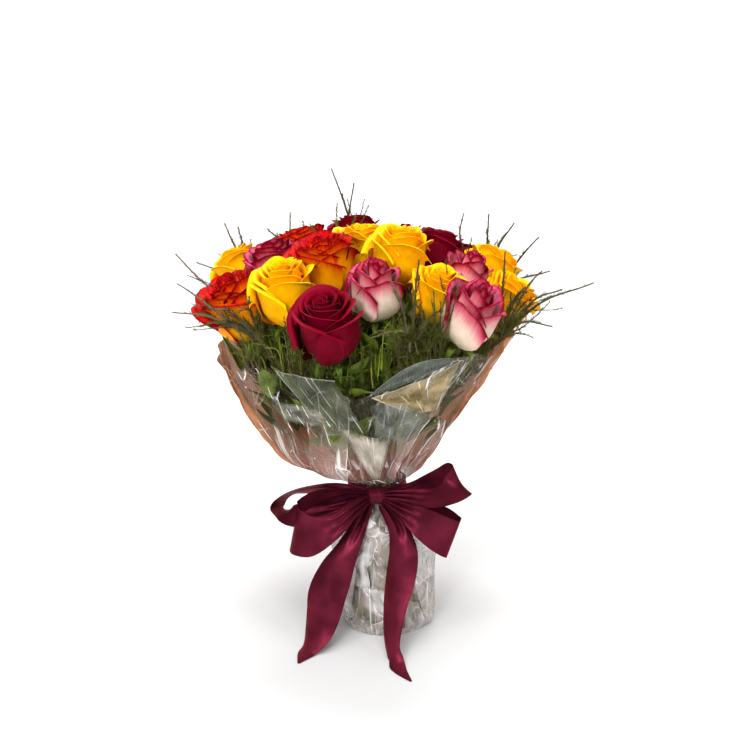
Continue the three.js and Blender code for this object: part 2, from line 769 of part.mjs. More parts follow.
// The sprays. Each stem and each wand takes the first way near the one wanted that leaves it clear.
SPRAYS.forEach(({ gap, tips }, n) => {
  const { top, solid } = firstClear((step) => {
    const end = vec(gap[0] + step.x, gap[1] + step.y, GATE_HEIGHT);
    return { top: end, solid: solidOf(tube(bundleLine(end), SPRAY_RADIUS, 4, STEM_STEPS)) };
  });
  const wands = tips.map((tip) =>
    firstClear((step) => {
      const end = vec(...tip);
      const bend = top.clone().lerp(end, 0.5).add(vec(1.6 * step.x, 1.6 * step.y, WAND_RISE));
      return { solid: wand(top, bend, end) };
    }),
  );
  const spray = fused([solid, ...wands.filter(Boolean).map((found) => found.solid)]);
  stand(`fern_spray_${n + 1}`, spray);
  add(`fern_spray_${n + 1}`, spray, FINISH.fern);
});

export default bouquet;
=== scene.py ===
"""Dresses a hand-tied rose bouquet: roses, ferns and leaves in clear film, with a satin bow."""

import logging
import math
from collections.abc import Sequence
from dataclasses import dataclass
from enum import Enum
from functools import partial, partialmethod, reduce

import bmesh
import bpy
import numpy as np
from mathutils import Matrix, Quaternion, Vector


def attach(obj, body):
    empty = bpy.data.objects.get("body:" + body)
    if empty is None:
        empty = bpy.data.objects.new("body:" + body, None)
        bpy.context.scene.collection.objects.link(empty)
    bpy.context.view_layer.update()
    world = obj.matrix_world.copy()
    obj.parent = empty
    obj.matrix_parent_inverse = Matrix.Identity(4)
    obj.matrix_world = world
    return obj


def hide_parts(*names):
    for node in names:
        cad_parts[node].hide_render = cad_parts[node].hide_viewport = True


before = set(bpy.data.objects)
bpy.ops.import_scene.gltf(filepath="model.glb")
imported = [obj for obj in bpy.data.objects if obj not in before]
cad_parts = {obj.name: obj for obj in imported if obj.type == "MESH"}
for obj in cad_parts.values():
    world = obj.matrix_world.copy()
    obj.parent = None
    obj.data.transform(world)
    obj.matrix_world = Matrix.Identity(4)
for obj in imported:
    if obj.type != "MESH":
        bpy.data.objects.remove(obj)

LOG = logging.getLogger("rose_bouquet")
MM = 0.001
SEAM = 1e-5  # metres within which points are one
SHARP = math.radians(60)  # bend of an edge that stays sharp
TURN = 2 * math.pi
UP = np.array([0.0, 0.0, 1.0])
Colour = tuple[float, float, float]
Stops = tuple[tuple[float, Colour], ...]
Pair = tuple[float, float]
Place = tuple[float, float, float]
Points = np.ndarray
Line = tuple[Points, Points]  # points and the radius at each
Object = bpy.types.Object
Material = bpy.types.Material
Node = bpy.types.Node
Socket = bpy.types.NodeSocket


# ---------------------------------------- numbers and lines


def mix(a: Points | float, b: Points | float, share: Points | float) -> Points | float:
    """The value at a share of the way from a to b."""
    return a + (b - a) * share


def ease(x: Points | float, low: float, high: float) -> Points | float:
    """A smooth step from 0 at low to 1 at high."""
    t = np.clip((np.asarray(x, float) - low) / (high - low), 0, 1)
    return t * t * (3 - 2 * t)


def unit(v: Points) -> Points:
    """Vectors of length one along the last axis."""
    v = np.asarray(v, float)
    return v / np.maximum(np.linalg.norm(v, axis=-1, keepdims=True), 1e-9)


def polar(radius: Points | float, angle: Points | float) -> Points:
    """Flat points from radius and angle."""
    return np.stack([radius * np.cos(angle), radius * np.sin(angle)], -1)


def spline(stations: Sequence[Sequence[float]] | Points, count: int) -> Points:
    """Points on a smooth line through stations.

    Args:
        stations: Rows of numbers that the line goes through.
        count: How many points to return, evenly along the stations' numbering.

    Returns:
        Rows of interpolated numbers.
    """
    rows = np.asarray(stations, float)
    padded = np.vstack([2 * rows[0] - rows[1], rows, 2 * rows[-1] - rows[-2]])
    t = np.linspace(0, len(rows) - 1, count)
    k = np.minimum(t.astype(int), len(rows) - 2)
    f = (t - k)[:, None]
    a, b, c, d = (padded[k + i] for i in range(4))
    return 0.5 * (2 * b + (c - a) * f + (2 * a - 5 * b + 4 * c - d) * f**2 + (3 * b - a - 3 * c + d) * f**3)


def slopes(rows: Points) -> Points:
    """Unit directions along a line of points."""
    return unit(np.gradient(rows, axis=0))


def turned(points: Points, direction: Points, turn: float = 0.0) -> Points:
    """Points modelled along +Z, turned about it and then aimed along a direction."""
    aim = Vector(UP).rotation_difference(Vector(direction)) @ Quaternion(UP, turn)
    return points @ np.array(aim.to_matrix()).T


def swung(flat: Points, angle: float) -> Points:
    """A flat point or direction, turned about +Z."""
    c, s = math.cos(angle), math.sin(angle)
    return np.array([c * flat[0] - s * flat[1], s * flat[0] + c * flat[1]])


def read(rows: Points, place: Points) -> Points:
    """Rows read at places between them, counted in rows."""
    index = np.arange(len(rows))
    return np.stack([np.interp(place, index, rows[:, k]) for k in range(rows.shape[1])], -1)


def crumple(points: Points, sizes: Sequence[float], depth: float, seed: int) -> Points:
    """A field of flat facets between sharp folds, as in crushed film.

    Args:
        points: Places in millimetres.
        sizes: Widths of the folds.
        depth: Height of a fold as a share of its width.
        seed: Seed of the folds' directions.

    Returns:
        A height for each place, in millimetres, about zero.
    """
    rng = np.random.default_rng(seed)
    total = np.zeros(points.shape[:-1])
    for size in sizes:
        sway = np.sin(points[..., [1, 2, 0]] / (0.9 * size) + rng.uniform(0, 6, 3))
        bent = points + 0.3 * size * sway
        phase = bent @ unit(rng.normal(size=3)) / size + rng.uniform()
        total += depth * size * (np.abs(2 * (phase % 1) - 1) - 0.5)
    return total


# ---------------------------------------- meshes


@dataclass(frozen=True)
class Template:
    """A primitive that is modelled once, as its points, its places on the sheet and its faces."""

    points: Points
    uv: Points
    faces: list[tuple[int, ...]]

    @classmethod
    def taken(cls) -> "Template":
        """The template of the active object, which is removed."""
        obj = bpy.context.object
        mesh = obj.data
        points = np.array([v.co for v in mesh.vertices], float)
        faces = [tuple(p.vertices) for p in mesh.polygons]
        bpy.data.objects.remove(obj)
        bpy.data.meshes.remove(mesh)
        return cls(points, points[:, :2] + 0.5, faces)

    @classmethod
    def grid(cls, columns: int, rows: int) -> "Template":
        """A flat sheet of so many faces across and along."""
        bpy.ops.mesh.primitive_grid_add(x_subdivisions=columns, y_subdivisions=rows, size=1)
        return cls.taken()

    @classmethod
    def needle(cls) -> "Template":
        """A three-sided point, one long, from its root up +Z."""
        bpy.ops.mesh.primitive_cone_add(vertices=3, radius1=1, depth=1, location=(0, 0, 0.5))
        bpy.ops.object.transform_apply(location=True)
        return cls.taken()

    @classmethod
    def ball(cls, segments: int, rings: int) -> "Template":
        """A ball of radius one.

        Args:
            segments: Faces round it.
            rings: Faces from pole to pole.

        Returns:
            The template.
        """
        bpy.ops.mesh.primitive_uv_sphere_add(segments=segments, ring_count=rings, radius=1)
        made = cls.taken()
        order = np.lexsort(np.round(made.points, 5).T)  # the primitive's own order differs from run to run
        rank = np.argsort(order)
        faces = sorted(tuple(rank[list(face)].tolist()) for face in made.faces)
        points = made.points[order]
        around = np.arctan2(points[:, 1], points[:, 0]) / TURN + 0.5
        return cls(points, np.stack([around, 0.5 + 0.5 * points[:, 2]], -1), faces)

    @classmethod
    def ring(cls, around: int, section: int) -> "Template":
        """A ring about +Z; its places are the share round it and the share round its section.

        Args:
            around: Faces round it.
            section: Faces round its section.

        Returns:
            The template.
        """
        middle = 2.0
        bpy.ops.mesh.primitive_torus_add(
            major_segments=around, minor_segments=section, major_radius=middle, minor_radius=1
        )
        made = cls.taken()
        flat = np.hypot(made.points[:, 0], made.points[:, 1]) - middle
        u = (np.arctan2(made.points[:, 1], made.points[:, 0]) / TURN) % 1
        v = (np.arctan2(made.points[:, 2], flat) / TURN) % 1
        return cls(made.points, np.stack([u, v], -1), made.faces)


class Patchwork:
    """Gathers shaped copies of templates as one mesh, in millimetres."""

    def __init__(self) -> None:
        """Starts empty."""
        self.points: list[Points] = []
        self.uv: list[Points] = []
        self.faces: list[tuple[int, ...]] = []
        self.slots: list[int] = []
        self.size = 0

    def add(self, template: Template, points: Points, slot: int = 0, uv: Points | None = None) -> None:
        """Adds one copy of a template, or several.

        Args:
            template: What is copied.
            points: The copy's own points, or a stack of them for several copies.
            slot: Number of the finish.
            uv: Places on the sheet, where they differ from the template's.
        """
        stack = points.reshape(-1, len(template.points), 3)
        places = template.uv if uv is None else uv
        for copy in stack:
            self.points.append(copy)
            self.uv.append(places)
            self.faces.extend(tuple(i + self.size for i in face) for face in template.faces)
            self.slots.extend([slot] * len(template.faces))
            self.size += len(copy)

    def build(self, name: str, finishes: Sequence[Material], thickness: float = 0.0,
              inner: int = 0) -> Object:
        """The mesh as an object at the origin.

        Args:
            name: The piece's name.
            finishes: Its materials, by slot number.
            thickness: Thickness of the sheets in millimetres, added under their faces.
            inner: What the under side's slot number adds to the upper side's.

        Returns:
            The object.
        """
        mesh = bpy.data.meshes.new(name)
        mesh.from_pydata((np.concatenate(self.points) * MM).tolist(), [], self.faces)
        for finish in finishes:
            mesh.materials.append(finish)
        mesh.polygons.foreach_set("material_index", self.slots)
        places = np.concatenate(self.uv)
        index = np.zeros(len(mesh.loops), np.int32)
        mesh.loops.foreach_get("vertex_index", index)
        mesh.uv_layers.new(name="UVMap").data.foreach_set("uv", places[index].ravel())
        obj = added(name, mesh)
        if thickness:
            thicken(obj, thickness, inner)
        smooth(obj)
        return obj


def patch(name: str, template: Template, points: Points, finish: Material, thickness: float = 0.0,
          uv: Points | None = None) -> Object:
    """One shaped copy of a template as an object.

    Args:
        name: The piece's name.
        template: What is copied.
        points: Its points.
        finish: Its material.
        thickness: Thickness in millimetres, where it has one.
        uv: Places on the sheet, where they differ from the template's.

    Returns:
        The object.
    """
    work = Patchwork()
    work.add(template, points, uv=uv)
    return work.build(name, [finish], thickness)


def added(name: str, data: bpy.types.ID) -> Object:
    """A new object in the scene.

    Args:
        name: Its name.
        data: Its mesh, curve, light or camera.

    Returns:
        The object.
    """
    obj = bpy.data.objects.new(name, data)
    bpy.context.scene.collection.objects.link(obj)
    return obj


def choose(obj: Object) -> None:
    """Makes an object the only one selected and active.

    Args:
        obj: The object.
    """
    bpy.ops.object.select_all(action="DESELECT")
    obj.select_set(True)
    bpy.context.view_layer.objects.active = obj


def thicken(obj: Object, thickness: float, inner: int = 0) -> None:
    """Gives a sheet its thickness, under its faces.

    Args:
        obj: The sheet.
        thickness: Its thickness in millimetres.
        inner: What the under side's slot number adds to the upper side's.
    """
    choose(obj)
    solid = obj.modifiers.new("Thickness", "SOLIDIFY")
    solid.thickness, solid.offset = thickness * MM, -1
    solid.material_offset = solid.material_offset_rim = inner
    bpy.ops.object.modifier_apply(modifier=solid.name)


def smooth(obj: Object) -> None:
    """Shades an object smooth but for its sharp edges."""
    choose(obj)
    bpy.ops.object.shade_smooth_by_angle(angle=SHARP)


def merged(obj: Object) -> Object:
    """Closes the seams and poles of a mesh, and turns its faces outwards.

    Args:
        obj: The object.

    Returns:
        The same object.
    """
    work = bmesh.new()
    work.from_mesh(obj.data)
    bmesh.ops.remove_doubles(work, verts=work.verts, dist=SEAM)
    bmesh.ops.recalc_face_normals(work, faces=work.faces)
    work.to_mesh(obj.data)
    work.free()
    return obj


def tubes(name: str, lines: Sequence[Line], finish: Material, sides: int) -> Object:
    """Round closed tubes along lines, as one object.

    Args:
        name: The piece's name.
        lines: For each tube its points and its radius at each, in millimetres.
        finish: Its material.
        sides: Faces round a tube.

    Returns:
        The object.
    """
    curve = bpy.data.curves.new(name, "CURVE")
    curve.dimensions = "3D"
    curve.bevel_depth = MM
    curve.bevel_resolution = max(0, sides // 2 - 2)
    curve.use_fill_caps = True
    for points, radii in lines:
        run = curve.splines.new("POLY")
        run.points.add(len(points) - 1)
        run.points.foreach_set("co", np.column_stack([points * MM, np.ones(len(points))]).ravel())
        run.points.foreach_set("radius", np.asarray(radii, float))
    obj = added(name, curve)
    choose(obj)
    bpy.ops.object.convert(target="MESH")
    obj = bpy.context.object
    obj.data.materials.clear()
    obj.data.materials.append(finish)
    if not obj.data.uv_layers:
        obj.data.uv_layers.new(name="UVMap")
    smooth(obj)
    return obj


def joined(name: str, parts: Sequence[Object]) -> Object:
    """Several objects as one.

    Args:
        name: The piece's name.
        parts: The objects, each with one UV map.

    Returns:
        The one object.
    """
    choose(parts[0])
    for part in parts:
        part.data.uv_layers[0].name = "UVMap"
        part.select_set(True)
    bpy.ops.object.join()
    made = bpy.context.object
    made.name = made.data.name = name
    return made


def hand_in(obj: Object, slot: str, *nodes: str) -> Object:
    """Lets a finished piece ride on the bouquet in place of its solids.

    Args:
        obj: The piece.
        slot: Not used.
        nodes: The solids that it stands for.

    Returns:
        The piece.
    """
    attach(obj, "root")
    if nodes:
        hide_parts(*nodes)
    LOG.info("%s: %d faces", obj.name, len(obj.data.polygons))
    return obj


# ---------------------------------------- finishes


class Graph:
    """The nodes of one material, which end in one Principled shader."""

    def __init__(self, name: str, **constants: float | Colour) -> None:
        """Makes the material.

        Args:
            name: The material's name.
            constants: Values of the shader's own sockets, with _ for a space.
        """
        self.material = bpy.data.materials.new(name)
        self.material.use_nodes = True
        self.tree = self.material.node_tree
        self.shader = self.tree.nodes["Principled BSDF"]
        for key, value in constants.items():
            socket = self.shader.inputs[key.replace("_", " ")]
            socket.default_value = (*value, 1) if isinstance(value, tuple) else value

    def add(self, kind: str, inputs: dict | None = None, **settings: object) -> Node:
        """Adds a node.

        Args:
            kind: The node's type without its ShaderNode prefix.
            inputs: Values or sockets for its inputs, by name or number.
            settings: Its properties.

        Returns:
            The node.
        """
        node = self.tree.nodes.new("ShaderNode" + kind)
        for key, value in settings.items():
            setattr(node, key, value)
        for key, value in (inputs or {}).items():
            if isinstance(value, Socket):
                self.tree.links.new(value, node.inputs[key])
            elif isinstance(value, tuple) and node.inputs[key].type == "RGBA":
                node.inputs[key].default_value = (*value, 1)
            else:
                node.inputs[key].default_value = value
        return node

    def set(self, key: str, socket: Socket) -> None:
        """Links a socket to one of the shader's."""
        self.tree.links.new(socket, self.shader.inputs[key])

    def math(self, operation: str, a: object, b: object = 0.0, clamp: bool = False) -> Socket:
        """The result of a sum on sockets or numbers."""
        return self.add("Math", {0: a, 1: b}, operation=operation, use_clamp=clamp).outputs[0]

    def vector(self, operation: str, a: object, b: object) -> Socket:
        """The result of a sum on vectors."""
        node = self.add("VectorMath", {0: a, 1: b}, operation=operation)
        return node.outputs["Value" if operation == "DOT_PRODUCT" else 0]

    def chain(self, operation: str, *values: object) -> Socket:
        """One kind of sum over two or more sockets or numbers."""
        return reduce(partial(self.math, operation), values)

    plus = partialmethod(chain, "ADD")
    times = partialmethod(chain, "MULTIPLY")
    most = partialmethod(chain, "MAXIMUM")
    least = partialmethod(chain, "MINIMUM")

    def minus(self, a: object, b: object = 0.5) -> Socket:
        """A value less another, or about its middle."""
        return self.math("SUBTRACT", a, b)

    def off(self, value: object, middle: float = 0.5) -> Socket:
        """How far a value is from a middle."""
        return self.math("ABSOLUTE", self.minus(value, middle))

    def span(self, value: object, low: float, high: float, *to: float) -> Socket:
        """A smooth step of a value, from 0 at low to 1 at high or between two given ends."""
        inputs = dict(enumerate((value, low, high, *(to or (0.0, 1.0)))))
        return self.add("MapRange", inputs, interpolation_type="SMOOTHSTEP").outputs[0]

    def ramp(self, value: Socket, stops: Stops) -> Socket:
        """A colour from a value by stops.

        Args:
            value: The value.
            stops: Places from 0 to 1 with their colours.

        Returns:
            The colour.
        """
        node = self.add("ValToRGB", {0: value})
        elements = node.color_ramp.elements
        while len(elements) < len(stops):
            elements.new(0.5)
        for element, (place, colour) in zip(elements, stops):
            element.position = place
            element.color = (*colour, 1)
        return node.outputs[0]

    def blend(self, share: object, a: object, b: object, kind: str = "MIX") -> Socket:
        """Two colours mixed by a share."""
        node = self.add("Mix", {0: share, 6: a, 7: b}, data_type="RGBA", blend_type=kind)
        return node.outputs[2]

    def sheet(self, across: float = 1.0, up: float = 1.0) -> Socket:
        """Places on the piece's own sheet, scaled."""
        source = self.add("UVMap").outputs[0]
        return self.add("Mapping", {0: source, 3: (across, up, 1)}).outputs[0]

    def space(self) -> Socket:
        """Places in the object's space, in metres."""
        return self.add("TexCoord").outputs["Object"]

    def axes(self, places: Socket) -> Sequence[Socket]:
        """The numbers of a place or colour, one by one."""
        return self.add("SeparateXYZ", {0: places}).outputs

    def noise(self, places: Socket, scale: float = 1.0, detail: float = 3.0, rough: float = 0.5) -> Socket:
        """Noise at places."""
        inputs = {"Vector": places, "Scale": scale, "Detail": detail, "Roughness": rough}
        return self.add("TexNoise", inputs).outputs[0]

    def sway(self, places: Socket, detail: float, reach: Place) -> Socket:
        """A random shift of places, up to so far along each axis."""
        shift = self.add("TexNoise", {"Vector": places, "Scale": 1.0, "Detail": detail}).outputs[1]
        return self.vector("MULTIPLY", shift, reach)

    def threads(self, places: Socket, wobble: float, direction: str) -> Socket:
        """Parallel threads across places."""
        inputs = {"Vector": places, "Scale": 1.0, "Distortion": wobble}
        return self.add("TexWave", inputs, bands_direction=direction).outputs[1]

    def cells(self, places: Socket, feature: str = "F1") -> Node:
        """Flat cells that a sheet divides into."""
        inputs = {"Vector": places, "Scale": 1.0}
        return self.add("TexVoronoi", inputs, feature=feature, voronoi_dimensions="2D")

    def borders(self, places: Socket) -> Socket:
        """How far each place is from the border of its cell."""
        return self.cells(places, "DISTANCE_TO_EDGE").outputs[0]

    def tilt(self, places: Socket, cells: Node) -> Socket:
        """A relief that leans each cell its own way."""
        way = self.vector("SUBTRACT", cells.outputs["Color"], (0.5, 0.5, 0.5))
        return self.vector("DOT_PRODUCT", self.vector("SUBTRACT", places, cells.outputs["Position"]), way)

    def bump(self, height: Socket, strength: float, distance: float) -> None:
        """Gives the shader a relief, over any that it has.

        Args:
            height: The relief.
            strength: How much of it shows.
            distance: Its height in metres where the relief is one.
        """
        node = self.add("Bump", {"Height": height, "Strength": strength, "Distance": distance})
        before = self.shader.inputs["Normal"]
        if before.is_linked:
            self.tree.links.new(before.links[0].from_socket, node.inputs["Normal"])
        self.set("Normal", node.outputs[0])


class Colouring(Enum):
    """The roses' colourings."""

    YELLOW = "petal_yellow"
    RED = "petal_red"
    BURGUNDY = "petal_burgundy"
    FLAME = "petal_flame"
    PINK = "petal_pink"


@dataclass(frozen=True)
class PetalFinish:
    """A petal's velvet: colours from root to lip outside and inside."""

    colouring: Colouring
    outside: Stops
    inside: Stops
    edge: float = 0.12  # how far the lip's colour runs down the sides
    streaks: float = 0.12
    roughness: float = 0.48

    def side(self, name: str, stops: Stops) -> Material:
        """The material of one side.

        Args:
            name: The material's name.
            stops: Colours from root to lip.

        Returns:
            The material.
        """
        g = Graph(name, Roughness=self.roughness, Sheen_Weight=0.01, Sheen_Roughness=0.4,
                  IOR=1.25, Specular_IOR_Level=0.12, Subsurface_Weight=0.06, Subsurface_Scale=0.004)
        across, up, _ = g.axes(g.sheet())
        side = g.math("POWER", g.times(g.off(across), 2.0), 3.0)
        veins = g.noise(g.sheet(26, 1.6), detail=4.0, rough=0.6)
        clouds = g.noise(g.space(), 60.0, 2.0)
        reach = g.plus(up, g.times(side, self.edge), g.times(g.minus(veins), self.streaks * 2.4))
        reach = g.plus(reach, g.times(g.minus(clouds), self.streaks))
        shade = g.ramp(g.noise(g.space(), 140.0), ((0.3, (0.8, 0.8, 0.8)), (0.75, (1.0, 1.0, 1.0))))
        g.set("Base Color", g.blend(1.0, g.ramp(reach, stops), shade, "MULTIPLY"))
        g.set("Roughness", g.span(clouds, 0.3, 0.7, self.roughness - 0.06, self.roughness + 0.1))
        g.bump(g.noise(g.sheet(46, 3)), 0.25, 0.0006)
        g.bump(g.noise(g.space(), 2600.0, 2.0), 0.12, 0.0002)
        return g.material

    def build(self) -> tuple[Material, Material]:
        """The outer and the inner material."""
        name = self.colouring.value
        return self.side(name, self.outside), self.side(name + "_inside", self.inside)


PETAL_FINISHES = [
    PetalFinish(
        Colouring.YELLOW,
        ((0, (0.5, 0.36, 0.01)), (0.14, (0.86, 0.36, 0)), (0.6, (0.95, 0.44, 0)), (1, (1, 0.52, 0.002))),
        ((0, (0.6, 0.16, 0)), (0.6, (0.92, 0.35, 0)), (1, (1, 0.5, 0.001))), streaks=0.08,
    ),
    PetalFinish(
        Colouring.RED,
        ((0, (0.08, 0.004, 0.004)), (0.2, (0.12, 0, 0.007)), (0.75, (0.165, 0, 0.013)),
         (1, (0.15, 0, 0.012))),
        ((0, (0.04, 0, 0.003)), (0.6, (0.1, 0, 0.006)), (1, (0.2, 0, 0.012))), streaks=0.07,
    ),
    PetalFinish(
        Colouring.BURGUNDY,
        ((0, (0.05, 0.002, 0.003)), (0.25, (0.1, 0, 0.006)), (0.8, (0.17, 0, 0.012)), (1, (0.12, 0, 0.008))),
        ((0, (0.04, 0, 0.003)), (0.7, (0.12, 0, 0.008)), (1, (0.2, 0.001, 0.014))), streaks=0.1,
    ),
    PetalFinish(
        Colouring.FLAME,
        ((0, (0.55, 0.34, 0.01)), (0.15, (1, 0.42, 0)), (0.6, (1, 0.3, 0)), (0.8, (0.9, 0.08, 0)),
         (0.92, (0.55, 0.01, 0.001)), (1, (0.18, 0, 0.003))),
        ((0, (0.95, 0.3, 0)), (0.35, (0.95, 0.09, 0)), (0.75, (0.85, 0.015, 0.002)),
         (0.9, (0.5, 0.002, 0.003)), (1, (0.2, 0, 0.004))), edge=0.16, streaks=0.14,
    ),
    PetalFinish(
        Colouring.PINK,
        ((0, (0.34, 0.36, 0.1)), (0.1, (0.7, 0.6, 0.4)), (0.45, (0.8, 0.58, 0.48)),
         (0.66, (0.7, 0.17, 0.21)), (0.85, (0.42, 0.01, 0.04)), (1, (0.17, 0, 0.012))),
        ((0, (0.8, 0.58, 0.52)), (0.6, (0.78, 0.38, 0.42)), (0.83, (0.58, 0.09, 0.17)),
         (0.94, (0.28, 0.002, 0.026)), (1, (0.17, 0, 0.012))), edge=0.2, streaks=0.1,
    ),
]


@dataclass(frozen=True)
class LeafFinish:
    """Leaves, hips and stems: waxy greens with a rib and side veins."""

    name: str
    dark: Colour
    light: Colour
    roughness: float = 0.4
    veins: float = 62.0  # how closely the side veins follow each other

    def build(self) -> Material:
        """The material."""
        g = Graph(self.name, Roughness=self.roughness, Specular_IOR_Level=0.25, Subsurface_Weight=0.04,
                  Subsurface_Scale=0.002)
        across, up, _ = g.axes(g.sheet())
        side = g.off(across)
        wave = g.math("SINE", g.times(g.plus(up, g.times(side, -0.5)), self.veins))
        vein = g.most(g.span(wave, 0.86, 1.0), g.span(side, 0.03, 0.012))
        patches = g.noise(g.space(), 70.0, 4.0, 0.6)
        fine = g.noise(g.space(), 900.0, 2.0)
        colour = g.ramp(g.plus(patches, g.times(fine, 0.15)), ((0.36, self.dark), (0.72, self.light)))
        pale = tuple(min(1.0, 1.5 * c + 0.015) for c in self.light)
        g.set("Base Color", g.blend(g.times(vein, 0.45), colour, pale))
        g.set("Roughness", g.span(patches, 0.3, 0.8, self.roughness - 0.08, self.roughness + 0.12))
        g.bump(vein, 0.5, 0.0003)
        g.bump(fine, 0.15, 0.0003)
        return g.material


@dataclass(frozen=True)
class FernFinish:
    """Dark fine needles that go from deep green at the root to straw and brown at the tip."""

    name: str
    deep: Colour
    fresh: Colour
    straw: Colour

    def build(self) -> Material:
        """The material."""
        g = Graph(self.name, Roughness=0.6, Specular_IOR_Level=0.12)
        _, up, _ = g.axes(g.sheet())
        colour = g.ramp(g.noise(g.space(), 45.0), ((0.36, self.deep), (0.66, self.fresh)))
        g.set("Base Color", g.blend(g.span(up, 0.55, 1.0), colour, self.straw))
        g.bump(g.noise(g.space(), 1500.0, 2.0), 0.2, 0.0002)
        return g.material


LEAF = LeafFinish("rose_green", (0.016, 0.03, 0.004), (0.14, 0.21, 0.013))
STEM = LeafFinish("stem_green", (0.035, 0.045, 0.008), (0.13, 0.15, 0.025), 0.5)
FERN = FernFinish("fern_green", (0.014, 0.022, 0.003), (0.11, 0.14, 0.008), (0.13, 0.09, 0.03))
CANE = FernFinish("fern_cane", (0.04, 0.032, 0.016), (0.08, 0.06, 0.032), (0.13, 0.092, 0.076))
GRASS = FernFinish("grass_green", (0.09, 0.13, 0.01), (0.3, 0.36, 0.03), (0.26, 0.26, 0.07))


@dataclass(frozen=True)
class FilmFinish:
    """Clear crackling film in front of a warm tinted back, with white folds and a milky foot; the white
    along the folds is painted highlight, and the back and the foot carry a painted glow.

    The foot is the part below the binding. Heights are in metres.
    """

    name: str = "clear_film"
    bare: float = 0.02  # opacity of plain film
    fold: float = 0.5  # what a painted highlight along a fold adds to it
    glow: float = 0.55  # painted glow: light that the tinted back emits, in place of light coming through it
    # painted glow: light that the milky foot emits
    foot_glow: float = 0.09
    foot_edge: Pair = (0.131, 0.112)  # between these the foot sets in
    rise_edge: Pair = (0.138, 0.158)  # between these the flare sets in
    crushed_edge: Pair = (0.222, 0.168)  # between these it grows more opaque towards the waist and turns mauve, a painted reflection of the ribbon
    middle: float = -0.022  # where across the wrap its front is middle
    tints: Stops = ((0.36, (0.15, 0.052, 0.023)), (0.5, (0.26, 0.097, 0.044)), (0.64, (0.4, 0.18, 0.095)))
    # painted highlight on the tinted back's brighter facets
    tint_highlight: Colour = (0.52, 0.33, 0.21)
    # the clear front's grey: a painted reflection, lighter on some facets than on others
    reflection_greys: Stops = ((0, (0.1, 0.09, 0.05)), (0.55, (0.22, 0.2, 0.14)), (1, (0.55, 0.5, 0.4)))
    # mauve near the waist: a painted reflection of the wine ribbon, with painted highlight streaks
    mauve_reflections: Stops = ((0, (0.14, 0.055, 0.05)), (0.6, (0.32, 0.14, 0.12)), (1, (0.6, 0.36, 0.32)))
    mauve_highlight_streak: Colour = (0.85, 0.68, 0.6)
    milks: Stops = ((0.1, (0.36, 0.32, 0.29)), (0.36, (0.64, 0.54, 0.5)), (0.6, (0.72, 0.69, 0.68)),
                    (0.9, (0.9, 0.89, 0.89)))

    def folds(self, g: Graph, foot: Socket) -> tuple[Socket, Socket]:
        """Painted highlights along fold lines, painted glints, and the tone of each facet between them, with
        their relief.

        The flare has long facets with straight lines, the foot has crushed ones with creases.

        Args:
            g: The material's nodes.
            foot: How far each place belongs to the foot.

        Returns:
            How much painted highlight each place takes, and each facet's tone, which sets its painted
            reflection and its opacity.
        """
        flare = g.minus(1.0, foot)
        sway = g.sway(g.sheet(9, 3), 2.0, (1.5, 0.7, 0.0))
        long = g.vector("ADD", g.sheet(30, 3.4), sway)
        cells, wide = g.cells(long), g.borders(long)
        fine = g.borders(g.vector("ADD", g.sheet(74, 15), sway))
        crushed = g.vector("ADD", g.sheet(14, 13), g.sway(g.sheet(16, 18), 1.0, (2.6, 2.2, 0.0)))
        chips, creases = g.cells(crushed), g.borders(crushed)

        chip = g.axes(chips.outputs["Color"])[1]
        chip = g.plus(g.times(chip, 0.45), g.times(g.span(g.noise(crushed, 0.9, 3.0, 0.6), 0.3, 0.7), 0.55))
        facet = g.axes(cells.outputs["Color"])[0]
        tone = g.add("Mix", {0: foot, 2: facet, 3: chip}).outputs[0]

        # Painted highlights: broken white fold lines, glint streaks, sparks and creases.
        broken = g.span(g.noise(g.sheet(40, 9), detail=2.0), 0.44, 0.56)
        lines = g.most(g.span(wide, 0.03, 0.008), g.times(g.span(fine, 0.035, 0.008), 0.45))
        streak = g.span(g.noise(g.sheet(80, 3.5), detail=2.0), 0.62, 0.68)
        spark = g.span(g.noise(g.sheet(150, 30), detail=2.0), 0.72, 0.75)
        crease = g.times(g.span(creases, 0.03, 0.004), g.times(foot, broken))
        white = g.most(g.times(lines, broken, flare), g.times(facet, 0.8, streak), spark, crease)

        g.bump(g.times(g.tilt(crushed, chips), foot), 1.0, 0.016)
        g.bump(g.times(g.tilt(long, cells), flare), 1.0, 0.012)
        g.bump(g.times(g.least(creases, 0.3), foot), 0.6, 0.01)
        g.bump(g.times(g.least(wide, 0.3), flare), 0.8, 0.01)
        g.bump(g.least(fine, 0.2), 0.25, 0.003)
        return white, tone

    def build(self) -> Material:
        """The material."""
        g = Graph(self.name, Roughness=0.16, Specular_IOR_Level=0.0, IOR=1.4)
        x, y, z = g.axes(g.space())
        foot, rise = g.span(z, *self.foot_edge), g.span(z, *self.rise_edge)
        white, facet = self.folds(g, foot)
        patch = g.noise(g.sheet(10, 4), rough=0.55)
        streak = g.span(g.noise(g.sheet(70, 1.6), detail=2.0), 0.5, 0.68)
        beside = g.times(g.math("ABSOLUTE", g.plus(x, -self.middle)), 0.68)
        behind = g.plus(y, beside, g.times(g.minus(patch), 0.05))
        back = g.times(g.span(behind, -0.007, 0.003), rise)
        low = g.times(g.span(z, *self.crushed_edge), rise)
        white = g.times(white, g.minus(1.0, g.times(back, 0.5)))

        tint = g.ramp(patch, self.tints)
